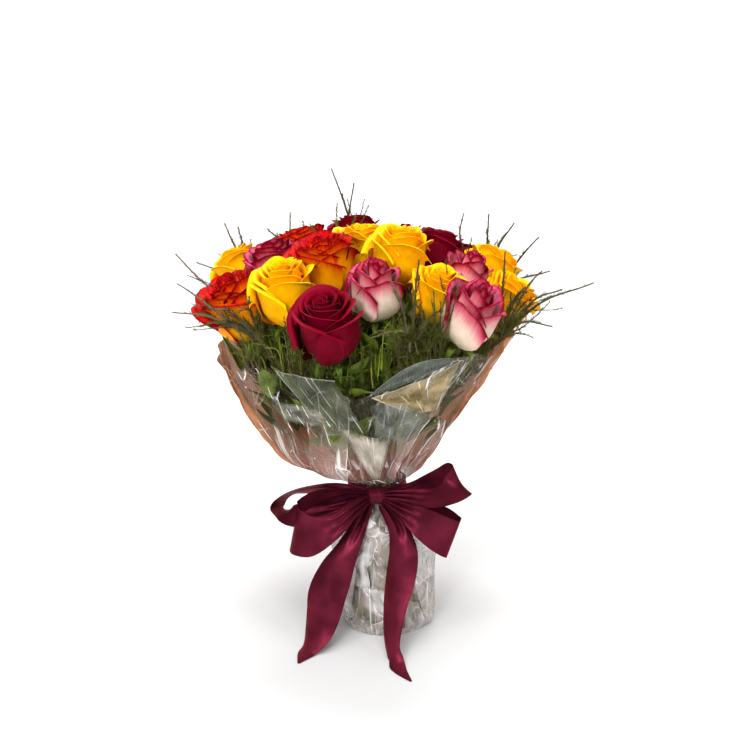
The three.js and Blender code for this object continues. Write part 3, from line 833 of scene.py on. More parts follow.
        # painted highlight on the tinted back's brighter facets
        tint = g.blend(g.times(g.span(facet, 0.5, 1.0), 0.45), tint, self.tint_highlight)
        mauve = g.blend(g.times(streak, 0.6), g.ramp(facet, self.mauve_reflections), self.mauve_highlight_streak)
        milky = g.ramp(facet, self.milks)
        colour = g.blend(low, g.ramp(facet, self.reflection_greys), mauve)
        colour = g.blend(g.times(back, g.span(z, 0.15, 0.2, 0.55, 1.0)), colour, tint)
        colour = g.blend(foot, colour, milky)
        # Painted highlights whiten the colour.
        g.set("Base Color", g.blend(white, colour, (1.0, 1.0, 1.0)))
        # Painted glow: the tinted back and the milky foot emit light, though they are no lamps.
        g.set("Emission Color", g.blend(foot, tint, milky))
        g.set("Emission Strength", g.plus(g.times(back, self.glow), g.times(foot, self.foot_glow)))

        alpha = g.plus(g.times(g.math("POWER", facet, 2.0), 0.1), self.bare)
        alpha = g.plus(alpha, g.times(white, self.fold), g.times(back, g.plus(0.7, g.times(facet, 0.2))))
        alpha = g.plus(alpha, g.times(low, 0.34), g.times(foot, g.times(facet, 0.42)))
        g.set("Alpha", g.math("ADD", alpha, g.times(foot, 0.09), clamp=True))
        return g.material


@dataclass(frozen=True)
class CornerFinish:
    """Film that is folded over on itself, so that it shows a tone of its own."""

    name: str
    dark: Colour
    light: Colour
    cover: float  # its opacity
    rim: float = 0.4
    glint: float = 0.5
    soft: float = 0.0  # width over which its sides and foot fade
    highlight: Colour = (0.95, 0.94, 0.88)

    def build(self) -> Material:
        """The material."""
        g = Graph(self.name, Roughness=0.16, Specular_IOR_Level=0.3, IOR=1.4)
        across, up, _ = g.axes(g.sheet())
        patch = g.noise(g.sheet(), 2.6, rough=0.55)
        streak = g.noise(g.sheet(20, 1.2), detail=2.0)
        # Painted highlights: a white rim along its edges and glint streaks.
        rim = g.most(g.times(g.span(up, 0.972, 0.99), 0.6), g.span(across, 0.035, 0.01))
        white = g.most(g.times(rim, self.rim), g.times(g.span(streak, 0.61, 0.66), self.glint))
        tone = g.ramp(patch, ((0.36, self.dark), (0.64, self.light)))
        g.set("Base Color", g.blend(white, tone, self.highlight))
        alpha = g.math("ADD", g.plus(g.times(white, 0.5), self.cover), g.times(patch, 0.2), clamp=True)
        if self.soft:
            inside = g.least(g.minus(0.5, g.off(across)), g.least(up, g.minus(1.04, up)))
            frayed = g.plus(inside, g.times(g.minus(streak), self.soft))
            alpha = g.times(alpha, g.span(frayed, 0.0, self.soft))
        g.set("Alpha", alpha)
        g.bump(streak, 0.15, 0.004)
        g.bump(patch, 0.4, 0.006)
        return g.material


@dataclass(frozen=True)
class SatinFinish:
    """Wine satin: a fine twill that shines along the ribbon, with a woven selvedge."""

    name: str
    # shade and shine: darker and lighter colours that noise mixes over the satin, a painted sheen
    shade: Colour
    shine: Colour
    metal: float
    glare: Colour = (1.0, 0.2, 0.32)

    def build(self) -> Material:
        """The material."""
        g = Graph(self.name, Roughness=0.36, Metallic=self.metal, IOR=1.15, Anisotropic=0.4,
                  Specular_IOR_Level=0.5 * self.metal, Specular_Tint=self.glare)
        across, _, _ = g.axes(g.sheet())
        warp = g.threads(g.sheet(95, 0), 0.6, "X")
        weft = g.threads(g.sheet(30, 210), 0.4, "DIAGONAL")
        twill = g.plus(g.times(warp, 0.5), g.times(weft, 0.5))
        cloud = g.noise(g.space(), 38.0, 2.0)
        tone = g.plus(g.times(twill, 0.15), g.times(cloud, 0.85))
        selvedge = g.span(g.off(across), 0.465, 0.485)
        # Painted sheen: noise mixes the shade and shine colours.
        colour = g.ramp(tone, ((0.3, self.shade), (0.7, self.shine)))
        g.set("Base Color", g.blend(g.times(selvedge, 0.5), colour, self.shade))
        g.set("Roughness", g.span(g.noise(g.sheet(3, 1), 2.0, 2.0), 0.3, 0.7, 0.33, 0.42))
        g.bump(twill, 0.08, 0.0002)
        g.bump(selvedge, 0.4, 0.0002)
        g.bump(cloud, 0.35, 0.006)
        return g.material


SATIN = SatinFinish("satin_ribbon", (0.054, 0.0052, 0.0125), (0.14, 0.014, 0.031), 0.5)
# The dull back of the ribbon, made darker than the satin as painted shade inside the loops.
SATIN_REVERSE_SHADED = SatinFinish("satin_reverse_shaded", (0.026, 0.0024, 0.0064), (0.075, 0.0075, 0.0175), 0.0)


@dataclass(frozen=True)
class TwineFinish:
    """Dull twisted fibre."""

    name: str = "twine"
    dark: Colour = (0.2, 0.12, 0.05)
    light: Colour = (0.5, 0.36, 0.2)

    def build(self) -> Material:
        """The material."""
        g = Graph(self.name, Roughness=0.9, Specular_IOR_Level=0.1)
        strand = g.threads(g.sheet(90, 2), 1.5, "DIAGONAL")
        fuzz = g.noise(g.space(), 1200.0)
        tone = g.times(g.plus(strand, fuzz), 0.5)
        g.set("Base Color", g.ramp(tone, ((0.3, self.dark), (0.7, self.light))))
        g.bump(strand, 0.7, 0.0006)
        g.bump(fuzz, 0.4, 0.0003)
        return g.material


@dataclass(frozen=True)
class FloorFinish:
    """A matt white sweep."""

    name: str = "studio_floor"
    tones: Stops = ((0.0, (0.57, 0.57, 0.57)), (1.0, (0.6, 0.6, 0.6)))

    def build(self) -> Material:
        """The material."""
        g = Graph(self.name, Roughness=0.9, Specular_IOR_Level=0.0)
        g.set("Base Color", g.ramp(g.noise(g.space(), 6.0), self.tones))
        return g.material


class Kit:
    """The templates and materials that the plants share."""

    def __init__(self) -> None:
        """Makes them."""
        self.petal, self.strip = Template.grid(12, 14), Template.grid(64, 6)
        self.blade, self.ball, self.needle = Template.grid(6, 10), Template.ball(16, 10), Template.needle()
        self.petals = {finish.colouring: finish.build() for finish in PETAL_FINISHES}
        self.leaf, self.wood = LEAF.build(), STEM.build()
        self.fern, self.cane, self.grass = FERN.build(), CANE.build(), GRASS.build()


# ---------------------------------------- the bundle


@dataclass(frozen=True)
class SpiralBundle:
    """Stems that cross in one spiral at the binding, in millimetres.

    Spreads are shares of how far a stem is from the middle at the height of the heads.
    """

    binding: float = 128.0
    heads: float = 300.0
    floor: float = 2.2
    waist: float = 0.14  # spread at the binding
    foot: float = 0.26  # spread at the floor
    waist_x: float = -9.0
    dome: Pair = (-12.0, 3.0)  # middle of the heads
    bow: float = 12.0  # how far the bundle bows to the left above the binding

    def at(self, z: float) -> tuple[float, float, Points]:
        """The bundle at a height.

        Args:
            z: The height.

        Returns:
            Its spread, its turn and its centre.
        """
        rise = z - self.binding
        far = self.heads - self.binding if rise > 0 else self.binding - self.floor
        full = 1.0 if rise > 0 else self.foot
        reach = math.sqrt(full**2 - self.waist**2) / far * rise
        share = rise / (self.heads - self.binding)
        if rise < 0:
            centre = (mix(0, self.waist_x, z / self.binding), 0.0)
        else:
            lean = self.bow * math.sin(math.pi * min(1.0, share))
            centre = (mix(self.waist_x, self.dome[0], share) - lean, mix(0, self.dome[1], share))
        return math.hypot(self.waist, reach), math.atan2(reach, self.waist), np.array(centre)

    def point(self, top: Points, z: float) -> Points:
        """Where a stem passes at a height.

        Args:
            top: The stem's upper end.
            z: The height.

        Returns:
            The point.
        """
        spread_end, turn_end, centre_end = self.at(top[2])
        spread, turn, centre = self.at(z)
        flat = swung(top[:2] - centre_end, turn - turn_end) * (spread / spread_end) + centre
        return np.array([*flat, z])

    def line(self, top: Points, count: int = 22) -> Points:
        """The way of a stem from its cut end to top."""
        return np.array([self.point(top, z) for z in np.linspace(self.floor, top[2], count)])

    def nod(self, x: float, y: float, degrees: float) -> Points:
        """The direction of a head at x and y that nods outwards from the middle of the dome."""
        angle = math.radians(degrees)
        return np.array([*(unit(np.array([x, y]) - self.dome) * math.sin(angle)), math.cos(angle)])


BUNDLE = SpiralBundle()


# ---------------------------------------- roses


@dataclass(frozen=True)
class Whorl:
    """One ring of petals, in shares of the bloom's radius and length, angles in degrees."""

    petals: int
    radius: float
    top: float
    half: float  # half the angle that a petal covers
    lip: float  # share of its length that is rolled out
    roll: float  # angle that the lip rolls through
    close: float = 0.0  # how far it draws in above its belly
    point: float = 0.03  # how far its tip stands up
    shoulder: float = 0.3  # how far its sides fall away from the tip
    wave: float = 0.01  # how far its lip waves


class BloomForm(Enum):
    """How a rose has opened: its whorls from the heart outwards."""

    FULL = (
        Whorl(3, 0.25, 1, 86, 0.07, 70, 0.12, 0, 0.16),
        Whorl(3, 0.39, 1, 84, 0.1, 90, 0.12, 0.01, 0.18),
        Whorl(4, 0.55, 0.985, 72, 0.12, 110, 0.06, 0.015, 0.2, 0.012),
        Whorl(4, 0.72, 0.95, 70, 0.14, 130, 0.02, 0.02, 0.24, 0.014),
        Whorl(5, 0.9, 0.87, 60, 0.17, 150, -0.03, 0.035, 0.28, 0.018),
    )
    SPIRAL = (
        Whorl(3, 0.17, 0.985, 92, 0.04, 40, 0.16, 0, 0.08, 0.006),
        Whorl(3, 0.28, 0.995, 92, 0.05, 60, 0.12, 0, 0.09, 0.006),
        Whorl(3, 0.4, 1, 92, 0.06, 80, 0.1, 0, 0.1, 0.006),
        Whorl(3, 0.53, 0.995, 90, 0.07, 100, 0.07, 0.005, 0.12, 0.006),
        Whorl(3, 0.68, 0.975, 86, 0.09, 120, 0.04, 0.01, 0.18, 0.008),
        Whorl(3, 0.84, 0.93, 84, 0.12, 150, 0),
        Whorl(2, 0.96, 0.84, 76, 0.13, 160, -0.02, 0.03, 0.36, 0.012),
    )
    RUFFLED = (
        Whorl(3, 0.18, 0.93, 90, 0.08, 60, 0.02, 0, 0.1, 0.02),
        Whorl(4, 0.32, 0.945, 74, 0.1, 80, -0.02, 0, 0.1, 0.026),
        Whorl(4, 0.47, 0.95, 70, 0.12, 100, -0.06, 0, 0.12, 0.028),
        Whorl(5, 0.62, 0.94, 62, 0.14, 115, -0.1, 0, 0.14, 0.03),
        Whorl(5, 0.77, 0.91, 60, 0.16, 130, -0.12, 0.01, 0.18, 0.03),
        Whorl(5, 0.92, 0.85, 58, 0.18, 145, -0.1, 0.03, 0.24, 0.026),
    )
    BUD = (
        Whorl(3, 0.22, 1, 92, 0.05, 60, 0.3, 0.02, 0.16),
        Whorl(3, 0.4, 0.99, 88, 0.08, 110, 0.24, 0.03, 0.2, 0.012),
        Whorl(3, 0.62, 0.92, 84, 0.1, 150, 0.08, 0.05, 0.26, 0.014),
        Whorl(4, 0.86, 0.82, 72, 0.11, 170, -0.03, 0.07, 0.34, 0.014),
    )


@dataclass
class Rose:
    """One rose: its head's middle, size, nod and turn, as the bouquet was tied."""

    number: int
    colouring: Colouring
    at: Place
    size: float
    nod: float
    turn: float
    form: BloomForm
    radius: float = 24.5
    length: float = 58.0
    hip_radius: float = 5.6
    neck: float = 28.0  # length over which the stem bends from the spiral into the head
    thickness: float = 0.35

    @property
    def axis(self) -> Points:
        """The way that the head faces."""
        return BUNDLE.nod(self.at[0], self.at[1], self.nod)

    @property
    def base(self) -> Points:
        """The root of the petals."""
        return np.array(self.at) - self.axis * 0.5 * self.length * self.size

    @property
    def under(self) -> Points:
        """Where the stem leaves the spiral."""
        return self.base - self.axis * self.neck

    @property
    def tag(self) -> str:
        """The rose's number in two figures."""
        return f"rose_{self.number:02d}"

    def placed(self, points: Points) -> Points:
        """Points about +Z, turned and set on the rose's own base."""
        return turned(points, self.axis, math.radians(self.turn)) + self.base

    def petal(self, uv: Points, whorl: Whorl, bearing: float, rng: np.random.Generator) -> Points:
        """One petal about +Z.

        Args:
            uv: Places on the petal.
            whorl: Its ring.
            bearing: Its middle, in radians.
            rng: Chance, for the small differences between petals.

        Returns:
            Its points.
        """
        radius, length = self.radius * self.size, self.length * self.size
        s = 2 * uv[:, 0] - 1
        t = 1 - (1 - uv[:, 1]) ** 1.5  # rows closer towards the lip
        tip = 1 - whorl.shoulder * np.abs(s) ** 2.6 + whorl.point * np.exp(-((s / 0.22) ** 2))
        column = whorl.top * length * tip
        width = 0.45 + 0.55 * np.sin(0.5 * math.pi * np.minimum(1, t / 0.5))
        theta = bearing + s * math.radians(whorl.half) * width
        belly = 0.22 + 0.78 * np.sin(0.5 * math.pi * np.minimum(1, t / 0.46)) ** 0.85
        r = whorl.radius * radius * belly * (1 - whorl.close * ease(t, 0.42, 1.0))
        fold = np.clip((t - (1 - whorl.lip)) / whorl.lip, 0, 1)
        free = ease(s, -0.75, 0.1)  # the side that lies over the next petal
        roll = np.radians(whorl.roll) * (0.7 + 0.3 * np.abs(s) ** 1.4) * rng.uniform(0.8, 1.1)
        roll = roll * mix(0.3, 1.0, free)
        arc = whorl.lip * whorl.top * length
        curl = arc / roll
        r = r + curl * (1 - np.cos(fold * roll))
        z = column * t + curl * np.sin(fold * roll) - fold * arc
        r = r + 0.075 * radius * s * ease(t, 0.05, 0.35)
        r = r + 0.09 * radius * whorl.radius * np.clip((s - 0.78) / 0.22, 0, 1) ** 2 * ease(t, 0.3, 0.9)
        r = r - 0.05 * radius * np.clip((-s - 0.5) / 0.5, 0, 1) ** 1.5 * ease(t, 0.2, 0.6)
        k, phase = rng.uniform(3.5, 6.5), rng.uniform(0, TURN, 2)
        z = z + whorl.wave * length * np.sin(k * s + phase[0]) * ease(t, 0.45, 1.0)
        r = r + 0.6 * whorl.wave * length * np.sin(1.3 * k * s + phase[1]) * ease(t, 0.4, 1.0) * free
        lean = rng.uniform(-0.03, 0.03)
        return np.column_stack([polar(r + lean * z, theta), z])

    def heart(self, uv: Points, turns: float = 2.6) -> Points:
        """The rolled strip in the middle of the bud.

        Args:
            uv: Places on the strip.
            turns: How often it goes round.

        Returns:
            Its points about +Z.
        """
        radius, length = self.radius * self.size, self.length * self.size
        theta = uv[:, 0] * TURN * turns
        r = radius * (0.03 + 0.15 * uv[:, 0]) * (0.75 + 0.25 * np.sin(math.pi * uv[:, 1]))
        top = 0.93 + 0.03 * uv[:, 0] + 0.008 * np.sin(5 * theta)
        z = length * mix(0.3, top, uv[:, 1])
        return np.column_stack([polar(r, theta), z])

    def bloom(self, kit: Kit) -> Object:
        """The head: a rolled heart and whorls of petals, each lapping over the next.

        Args:
            kit: Templates and materials.

        Returns:
            The piece.
        """
        rng = np.random.default_rng(100 + self.number)
        work = Patchwork()
        work.add(kit.strip, self.placed(self.heart(kit.strip.uv)))
        for k, whorl in enumerate(self.form.value):
            for n in range(whorl.petals):
                bearing = TURN * (n + 0.5 * (k % 2)) / whorl.petals + k * 0.7 + rng.uniform(-0.1, 0.1)
                work.add(kit.petal, self.placed(self.petal(kit.petal.uv, whorl, bearing, rng)))
        piece = work.build(f"{self.tag}_petals", kit.petals[self.colouring], self.thickness, inner=1)
        return hand_in(piece, self.colouring.value, f"{self.tag}_bloom")

    def hip(self, ball: Template, work: Patchwork) -> None:
        """The round hip under the petals, wider below its middle.

        Args:
            ball: A ball of radius one.
            work: What it is added to.
        """
        z = ball.points[:, 2]
        wide = self.hip_radius * (1 - 0.18 * z) * np.sqrt(np.maximum(0.02, 1 - z**2))
        flat = unit(ball.points[:, :2] + 1e-9) * wide[:, None]
        points = np.column_stack([flat, -4.6 + 4.8 * z]) * self.size
        work.add(ball, turned(points, self.axis) + self.base)

    def sepals(self, blade: Template, work: Patchwork) -> None:
        """Five narrow sepals that fold back under the head.

        Args:
            blade: The sepals' template.
            work: What they are added to.
        """
        rng = np.random.default_rng(300 + self.number)
        for n in range(5):
            s, t = 2 * blade.uv[:, 0] - 1, blade.uv[:, 1]
            half = 3.4 * np.sin(math.pi * np.clip(0.2 + 0.8 * t, 0, 1)) ** 0.7 * (1 - 0.35 * t)
            bend, drop = rng.uniform(0.9, 1.35), rng.uniform(9.0, 14.0)
            out = 4.6 + 13 * np.sin(0.5 * math.pi * np.minimum(1, t * bend))
            z = -1.4 + 2.6 * np.sin(math.pi * t) - drop * t**2.2 + 0.9 * s**2
            angle = TURN * n / 5 + math.radians(self.turn) + 0.3 * t * rng.uniform(-1, 1)
            points = np.column_stack([polar(out, angle), z])
            points[:, :2] += np.stack([-np.sin(angle), np.cos(angle)], -1) * (s * half)[:, None]
            work.add(blade, turned(points * self.size, self.axis) + self.base)

    def stem(self) -> Line:
        """The stem's line and its radius along it."""
        neck = np.array([self.under + self.axis * d for d in (9.0, 18.0, 24.0)])
        line = np.vstack([BUNDLE.line(self.under), neck])
        return line, np.linspace(2.3, 1.7, len(line))

    def thorns(self, needle: Template, work: Patchwork) -> None:
        """Four thorns up the stem.

        Args:
            needle: The thorns' template.
            work: What they are added to.
        """
        rng = np.random.default_rng(500 + self.number)
        line, radii = self.stem()
        way = slopes(line)
        for k in rng.choice(np.arange(8, 21), 4, replace=False):
            side = unit(np.cross(way[k], rng.normal(size=3)))
            point = turned(needle.points * [1.1, 1.7, 4.6], unit(side - 0.35 * way[k]))
            work.add(needle, line[k] + side * radii[k] * 0.7 + point)

    def sprigs(self) -> list["LeafSprig"]:
        """The leaves that the stem carries."""
        rng = np.random.default_rng(700 + self.number)
        found = []
        if self.number in SPRIGS:
            root, along = SPRIGS[self.number]
            found.append(LeafSprig(np.array(root), unit(along)))
        out = unit(np.array(self.at[:2]) - BUNDLE.dome)
        outer = math.dist(self.at[:2], BUNDLE.dome) > 80
        for _ in range(3 if outer else 1):
            root = BUNDLE.point(self.under, rng.uniform(196, 246))
            flat = swung(out, rng.uniform(-1.0, 1.0))
            way = unit(np.array([*flat, rng.uniform(1.0, 1.6)]))
            sizes = rng.uniform(46, 60), 3, rng.uniform(24, 32), rng.uniform(0.45, 0.66)
            found.append(LeafSprig(root, way, *sizes))
        return found

    def greens(self, kit: Kit) -> Object:
        """The green parts: stem, thorns, hip, sepals and leaves.

        Args:
            kit: Templates and materials.

        Returns:
            The object.
        """
        name = f"{self.tag}_greens"
        leaves, solid, stalks = Patchwork(), Patchwork(), [self.stem()]
        self.sepals(kit.blade, leaves)
        for k, sprig in enumerate(self.sprigs()):
            stalks.append(sprig.lay(kit.blade, leaves, 40 * self.number + k))
        self.hip(kit.ball, solid)
        self.thorns(kit.needle, solid)
        parts = [leaves.build(name, [kit.leaf], self.thickness), solid.build("hip", [kit.wood]),
                 tubes("stem", stalks, kit.wood, 8)]
        return hand_in(joined(name, parts), "rose_green", f"{self.tag}_stem")


ROSES = [
    Rose(1, Colouring.FLAME, (-129, -35, 307), 1.08, 31, 20, BloomForm.RUFFLED),
    Rose(2, Colouring.YELLOW, (-86, -67, 325), 1, 17, 200, BloomForm.FULL),
    Rose(3, Colouring.RED, (-49, -108, 305), 1.06, 27, 75, BloomForm.SPIRAL),
    Rose(4, Colouring.PINK, (-11, -77, 330), 0.92, 12, 130, BloomForm.BUD),
    Rose(5, Colouring.PINK, (68, -87, 312), 1.04, 31, 250, BloomForm.BUD),
    Rose(6, Colouring.YELLOW, (41, -52, 321), 0.86, 17, 10, BloomForm.FULL),
    Rose(7, Colouring.YELLOW, (103, -14, 306), 0.9, 30, 160, BloomForm.FULL),
    Rose(8, Colouring.FLAME, (-55, -27, 342), 1, 14, 300, BloomForm.RUFFLED),
    Rose(9, Colouring.YELLOW, (9, -22, 348), 0.98, 6, 40, BloomForm.FULL),
    Rose(10, Colouring.YELLOW, (-21, 16, 347), 0.94, 4, 220, BloomForm.RUFFLED),
    Rose(11, Colouring.BURGUNDY, (43, 24, 339), 0.94, 14, 110, BloomForm.SPIRAL),
    Rose(12, Colouring.PINK, (68, -18, 330), 0.84, 19, 90, BloomForm.BUD),
    Rose(13, Colouring.YELLOW, (92, 40, 322), 0.94, 27, 330, BloomForm.FULL),
    Rose(14, Colouring.FLAME, (-75, 47, 339), 0.96, 18, 60, BloomForm.RUFFLED),
    Rose(15, Colouring.PINK, (-98, -1, 334), 0.92, 20, 180, BloomForm.FULL),
    Rose(16, Colouring.YELLOW, (-131, 41, 321), 0.94, 29, 280, BloomForm.FULL),
    Rose(17, Colouring.PINK, (18, 64, 338), 0.92, 15, 15, BloomForm.BUD),
    Rose(18, Colouring.BURGUNDY, (-29, 67, 343), 1.02, 14, 240, BloomForm.SPIRAL),
    Rose(19, Colouring.RED, (63, 84, 316), 1, 28, 145, BloomForm.SPIRAL),
    Rose(20, Colouring.YELLOW, (4, 116, 306), 1, 30, 95, BloomForm.FULL),
    Rose(21, Colouring.PINK, (-55, 112, 308), 1, 30, 350, BloomForm.FULL),
    Rose(22, Colouring.FLAME, (-106, 87, 310), 1, 31, 205, BloomForm.RUFFLED),
]


# ---------------------------------------- foliage


@dataclass(frozen=True)
class LeafSprig:
    """A rose leaf of several leaflets on one stalk, from a point along a direction."""

    root: Points
    along: Points
    length: float = 62.0
    leaflets: int = 5
    leaflet: float = 31.0
    broad: float = 0.6

    def leaflet_points(self, uv: Points, root: Points, along: Points, length: float,
                       rng: np.random.Generator) -> Points:
        """One leaflet with a toothed edge, folded along its rib and arched.

        Args:
            uv: Places on the leaflet.
            root: Where it starts.
            along: The way that it points.
            length: Its length.
            rng: Chance, for its curl.

        Returns:
            Its points.
        """
        across = unit(np.cross(along, UP) + 1e-6)
        up = np.cross(across, along)
        s, t = 2 * uv[:, 0] - 1, uv[:, 1]
        half = 0.5 * self.broad * length * np.sin(math.pi * np.clip(0.04 + 0.96 * t, 0, 1) ** 0.82) ** 0.85
        teeth = 1 + 0.07 * (np.abs(s) > 0.95) * np.sign(np.sin(t * 52))
        arch = rng.uniform(-0.06, 0.16)
        rise = arch * length * np.sin(math.pi * t) - rng.uniform(0, 0.16) * length * t**2
        rise = rise + half * 0.3 * s**2 + 0.5 * np.sin(9 * t + 3 * s)
        twist = rng.uniform(-0.5, 0.5)
        side = across * math.cos(twist) + up * math.sin(twist)
        lift = np.cross(side, along)
        rib = root + along * (t * length)[:, None]
        return rib + side * (s * half * teeth)[:, None] + lift * rise[:, None]

    def stalk(self) -> Line:
        """The stalk, which sags a little and ends under the last leaflet."""
        share = np.linspace(0, 0.62, 6)[:, None]
        sag = -UP * 0.04 * self.length
        return self.root + self.along * self.length * share + sag * share**2, np.linspace(0.9, 0.5, 6)

    def lay(self, blade: Template, work: Patchwork, seed: int) -> Line:
        """Adds the leaflets.

        Args:
            blade: The leaflets' template.
            work: What the leaflets are added to.
            seed: Seed of its small differences.

        Returns:
            The stalk.
        """
        rng = np.random.default_rng(seed)
        across = unit(np.cross(self.along, UP) + 1e-6)
        line, radii = self.stalk()
        for k in range(self.leaflets // 2):
            at = line[-2 * k - 2]
            for side in (-1, 1):
                way = unit(self.along * 0.6 + across * side * 0.8 + UP * rng.uniform(-0.15, 0.25))
                size = self.leaflet * rng.uniform(0.7, 0.92)
                work.add(blade, self.leaflet_points(blade.uv, at, way, size, rng))
        work.add(blade, self.leaflet_points(blade.uv, line[-1], self.along, self.leaflet, rng))
        return line, radii


# The sprigs that the solids carry: the rose whose stem each grows on, its root and its direction.
SPRIGS = {
    3: ((-41.7, -71.6, 236.0), (0.37, -0.60, 0.71)),
    4: ((-19.0, -52.7, 246.0), (0.11, -0.56, 0.82)),
    5: ((35.1, -58.3, 236.0), (-0.29, -0.50, 0.82)),
    1: ((-91.6, -20.0, 238.0), (-0.56, 0.32, 0.77)),
    16: ((-92.5, 29.6, 246.0), (-0.76, -0.02, 0.64)),
    7: ((60.2, -11.1, 240.0), (0.49, 0.41, 0.77)),
    19: ((32.6, 51.2, 241.0), (0.23, 0.67, 0.71)),
    21: ((-40.2, 71.9, 236.0), (-0.42, 0.57, 0.71)),
}


@dataclass(frozen=True)
class Wand:
    """One fern wand: a thin arching stem set with fine needles that thin out to a bare tip."""

    fork: Points
    bend: Points
    tip: Points
    needles: int = 90
    reach: float = 10.0
    bare: float = 0.3  # share of its end that is nearly bare
    thick: float = 0.7
    needle: float = 0.34  # a needle's radius at its root
    steps: int = 18

    def lay(self, needle: Template, work: Patchwork, seed: int) -> Line:
        """Adds the needles.

        Args:
            needle: The needles' template.
            work: What the needles are added to.
            seed: Seed of its sway and of its needles.

        Returns:
            Its stem.
        """
        rng, count = np.random.default_rng(seed), self.needles
        line = spline(np.array([self.fork, self.bend, self.tip]), self.steps)
        t = np.linspace(0, 1, self.steps)[:, None]
        sway = unit(np.cross(self.tip - self.fork, rng.normal(size=3)))
        wave = np.sin(math.pi * t * rng.uniform(1.2, 2.2)) * rng.uniform(0.5, 2.2)
        line = line + sway * wave * t * (1 - t) * 4
        sparse = count // 8  # needles on the nearly bare end
        t = np.sort(np.concatenate([
            rng.uniform(0.06, 1 - self.bare, count - sparse), rng.uniform(1 - self.bare, 0.99, sparse)
        ]))
        place = t * (self.steps - 1)
        at, ahead = read(line, place), unit(read(slopes(line), place))
        side = unit(np.cross(ahead, rng.normal(size=(count, 3))))
        angle = np.radians(rng.uniform(16, 42, count))[:, None]
        out = unit(ahead * np.cos(angle) + side * np.sin(angle) + UP * 0.12)
        long = self.reach * rng.uniform(0.6, 1.15, count) * (1.1 - 0.65 * t)
        right = unit(np.cross(out, side))
        left = np.cross(right, out)
        x, y, z = needle.points.T
        points = (at[:, None] + out[:, None] * (z[None, :, None] * long[:, None, None])
                  + (right[:, None] * x[None, :, None] + left[:, None] * y[None, :, None]) * self.needle)
        uv = np.column_stack([needle.uv[:, 0], np.clip(z, 0, 1)])
        work.add(needle, points.reshape(-1, 3), uv=uv)
        return line, self.thick * np.linspace(1.0, 0.46, len(line))


class Thicket:
    """Gathers wands, with their needles and stems, as one piece."""

    def __init__(self, kit: Kit, *stems: Line) -> None:
        """Starts with any bare stems."""
        self.kit, self.work, self.stems = kit, Patchwork(), list(stems)

    def add(self, wand: Wand, seed: int) -> None:
        """Adds one wand."""
        self.stems.append(wand.lay(self.kit.needle, self.work, seed))

    def build(self, name: str, *nodes: str) -> Object:
        """The piece, in place of the solids that are named."""
        parts = [self.work.build(name, [self.kit.fern]), tubes("wands", self.stems, self.kit.cane, 6)]
        return hand_in(joined(name, parts), "fern_green", *nodes)


@dataclass
class FernSpray:
    """One spray: a stem up to a gap between heads, where it divides into wands."""

    number: int
    top: Place
    wands: Sequence[Sequence[float]]  # where each bends and where it ends
    extra: int = 12

    def build(self, kit: Kit) -> Object:
        """The piece: its named wands, with shorter ones round them.

        Args:
            kit: Templates and materials.

        Returns:
            The object.
        """
        rng = np.random.default_rng(900 + self.number)
        fork, ends = np.array(self.top, float), np.array(self.wands, float).reshape(-1, 2, 3)
        wands = [Wand(fork, bend, tip, thick=1.25) for bend, tip in ends]
        for k in range(self.extra):
            bend, tip = ends[k % len(ends)]
            share = rng.uniform(0.45, 0.85)
            end = fork + (tip - fork) * share + rng.normal(0, 11, 3) * [1, 1, 0.5]
            middle = fork + (bend - fork) * share + rng.normal(0, 4, 3)
            wands.append(Wand(fork, middle, end, needles=60, reach=9.0, bare=0.12))
        stem = BUNDLE.line(fork)
        thicket = Thicket(kit, (stem, np.linspace(1.4, 0.9, len(stem))))
        for k, wand in enumerate(wands):
            thicket.add(wand, 1000 * self.number + k)
        return thicket.build(f"fern_{self.number}", f"fern_spray_{self.number}")


SPRAYS = [
    FernSpray(1, (17.7, -107.2, 284), (
        (6, -122, 305, -6, -136, 308), (17, -127, 299, 16, -146, 296),
        (30, -120, 314, 42, -132, 326), (21, -110, 332, 24, -112, 362),
        (10, -110, 324, 2, -112, 345),
    )),
    FernSpray(2, (95.8, -49.7, 284), (
        (136, -40, 315, 177, -30, 328), (122, -47, 314, 148, -44, 325),
        (113, -48, 322, 130, -46, 341), (104, -67, 319, 112, -84, 335),
        (116, -63, 301, 136, -76, 300), (97, -50, 330, 98, -50, 358),
    )),
    FernSpray(3, (92, 70, 284), (
        (120, 56, 331, 136, 26, 359), (101, 72, 334, 118, 66, 366), (67, 34, 350, 69, 40, 378),
        (94, 77, 337, 96, 84, 372), (122, 65, 312, 152, 60, 322),
    )),
    FernSpray(4, (-16.3, 122.8, 284), (
        (-35, 114, 350, -31, 110, 398), (-22, 140, 329, -20, 150, 356),
        (-12, 153, 327, 16, 148, 352), (-34, 113, 357, -52, 104, 412),
        (-44, 144, 322, -84, 150, 342),
    )),
    FernSpray(5, (-115.7, 65.3, 284), (
        (-131, 71, 332, -138, 70, 362), (-137, 69, 334, -150, 66, 366),
        (-146, 63, 316, -176, 60, 330), (-92, 60, 344, -90, 80, 374),
        (-98, 46, 346, -109, 50, 363), (-135, 78, 324, -140, 118, 346),
    )),
    FernSpray(6, (-107.5, -59.9, 284), (
        (-147, -68, 315, -180, -34, 328), (-144, -67, 305, -181, -58, 308),
        (-127, -71, 309, -146, -82, 316), (-150, -26, 320, -184, -12, 350),
        (-114, -76, 316, -112, -100, 330),
    )),
]


@dataclass(frozen=True)
class Tuft:
    """A close tuft of fern wands that stands up between the heads."""

    x: float
    y: float
    low: float
    high: float
    wands: int


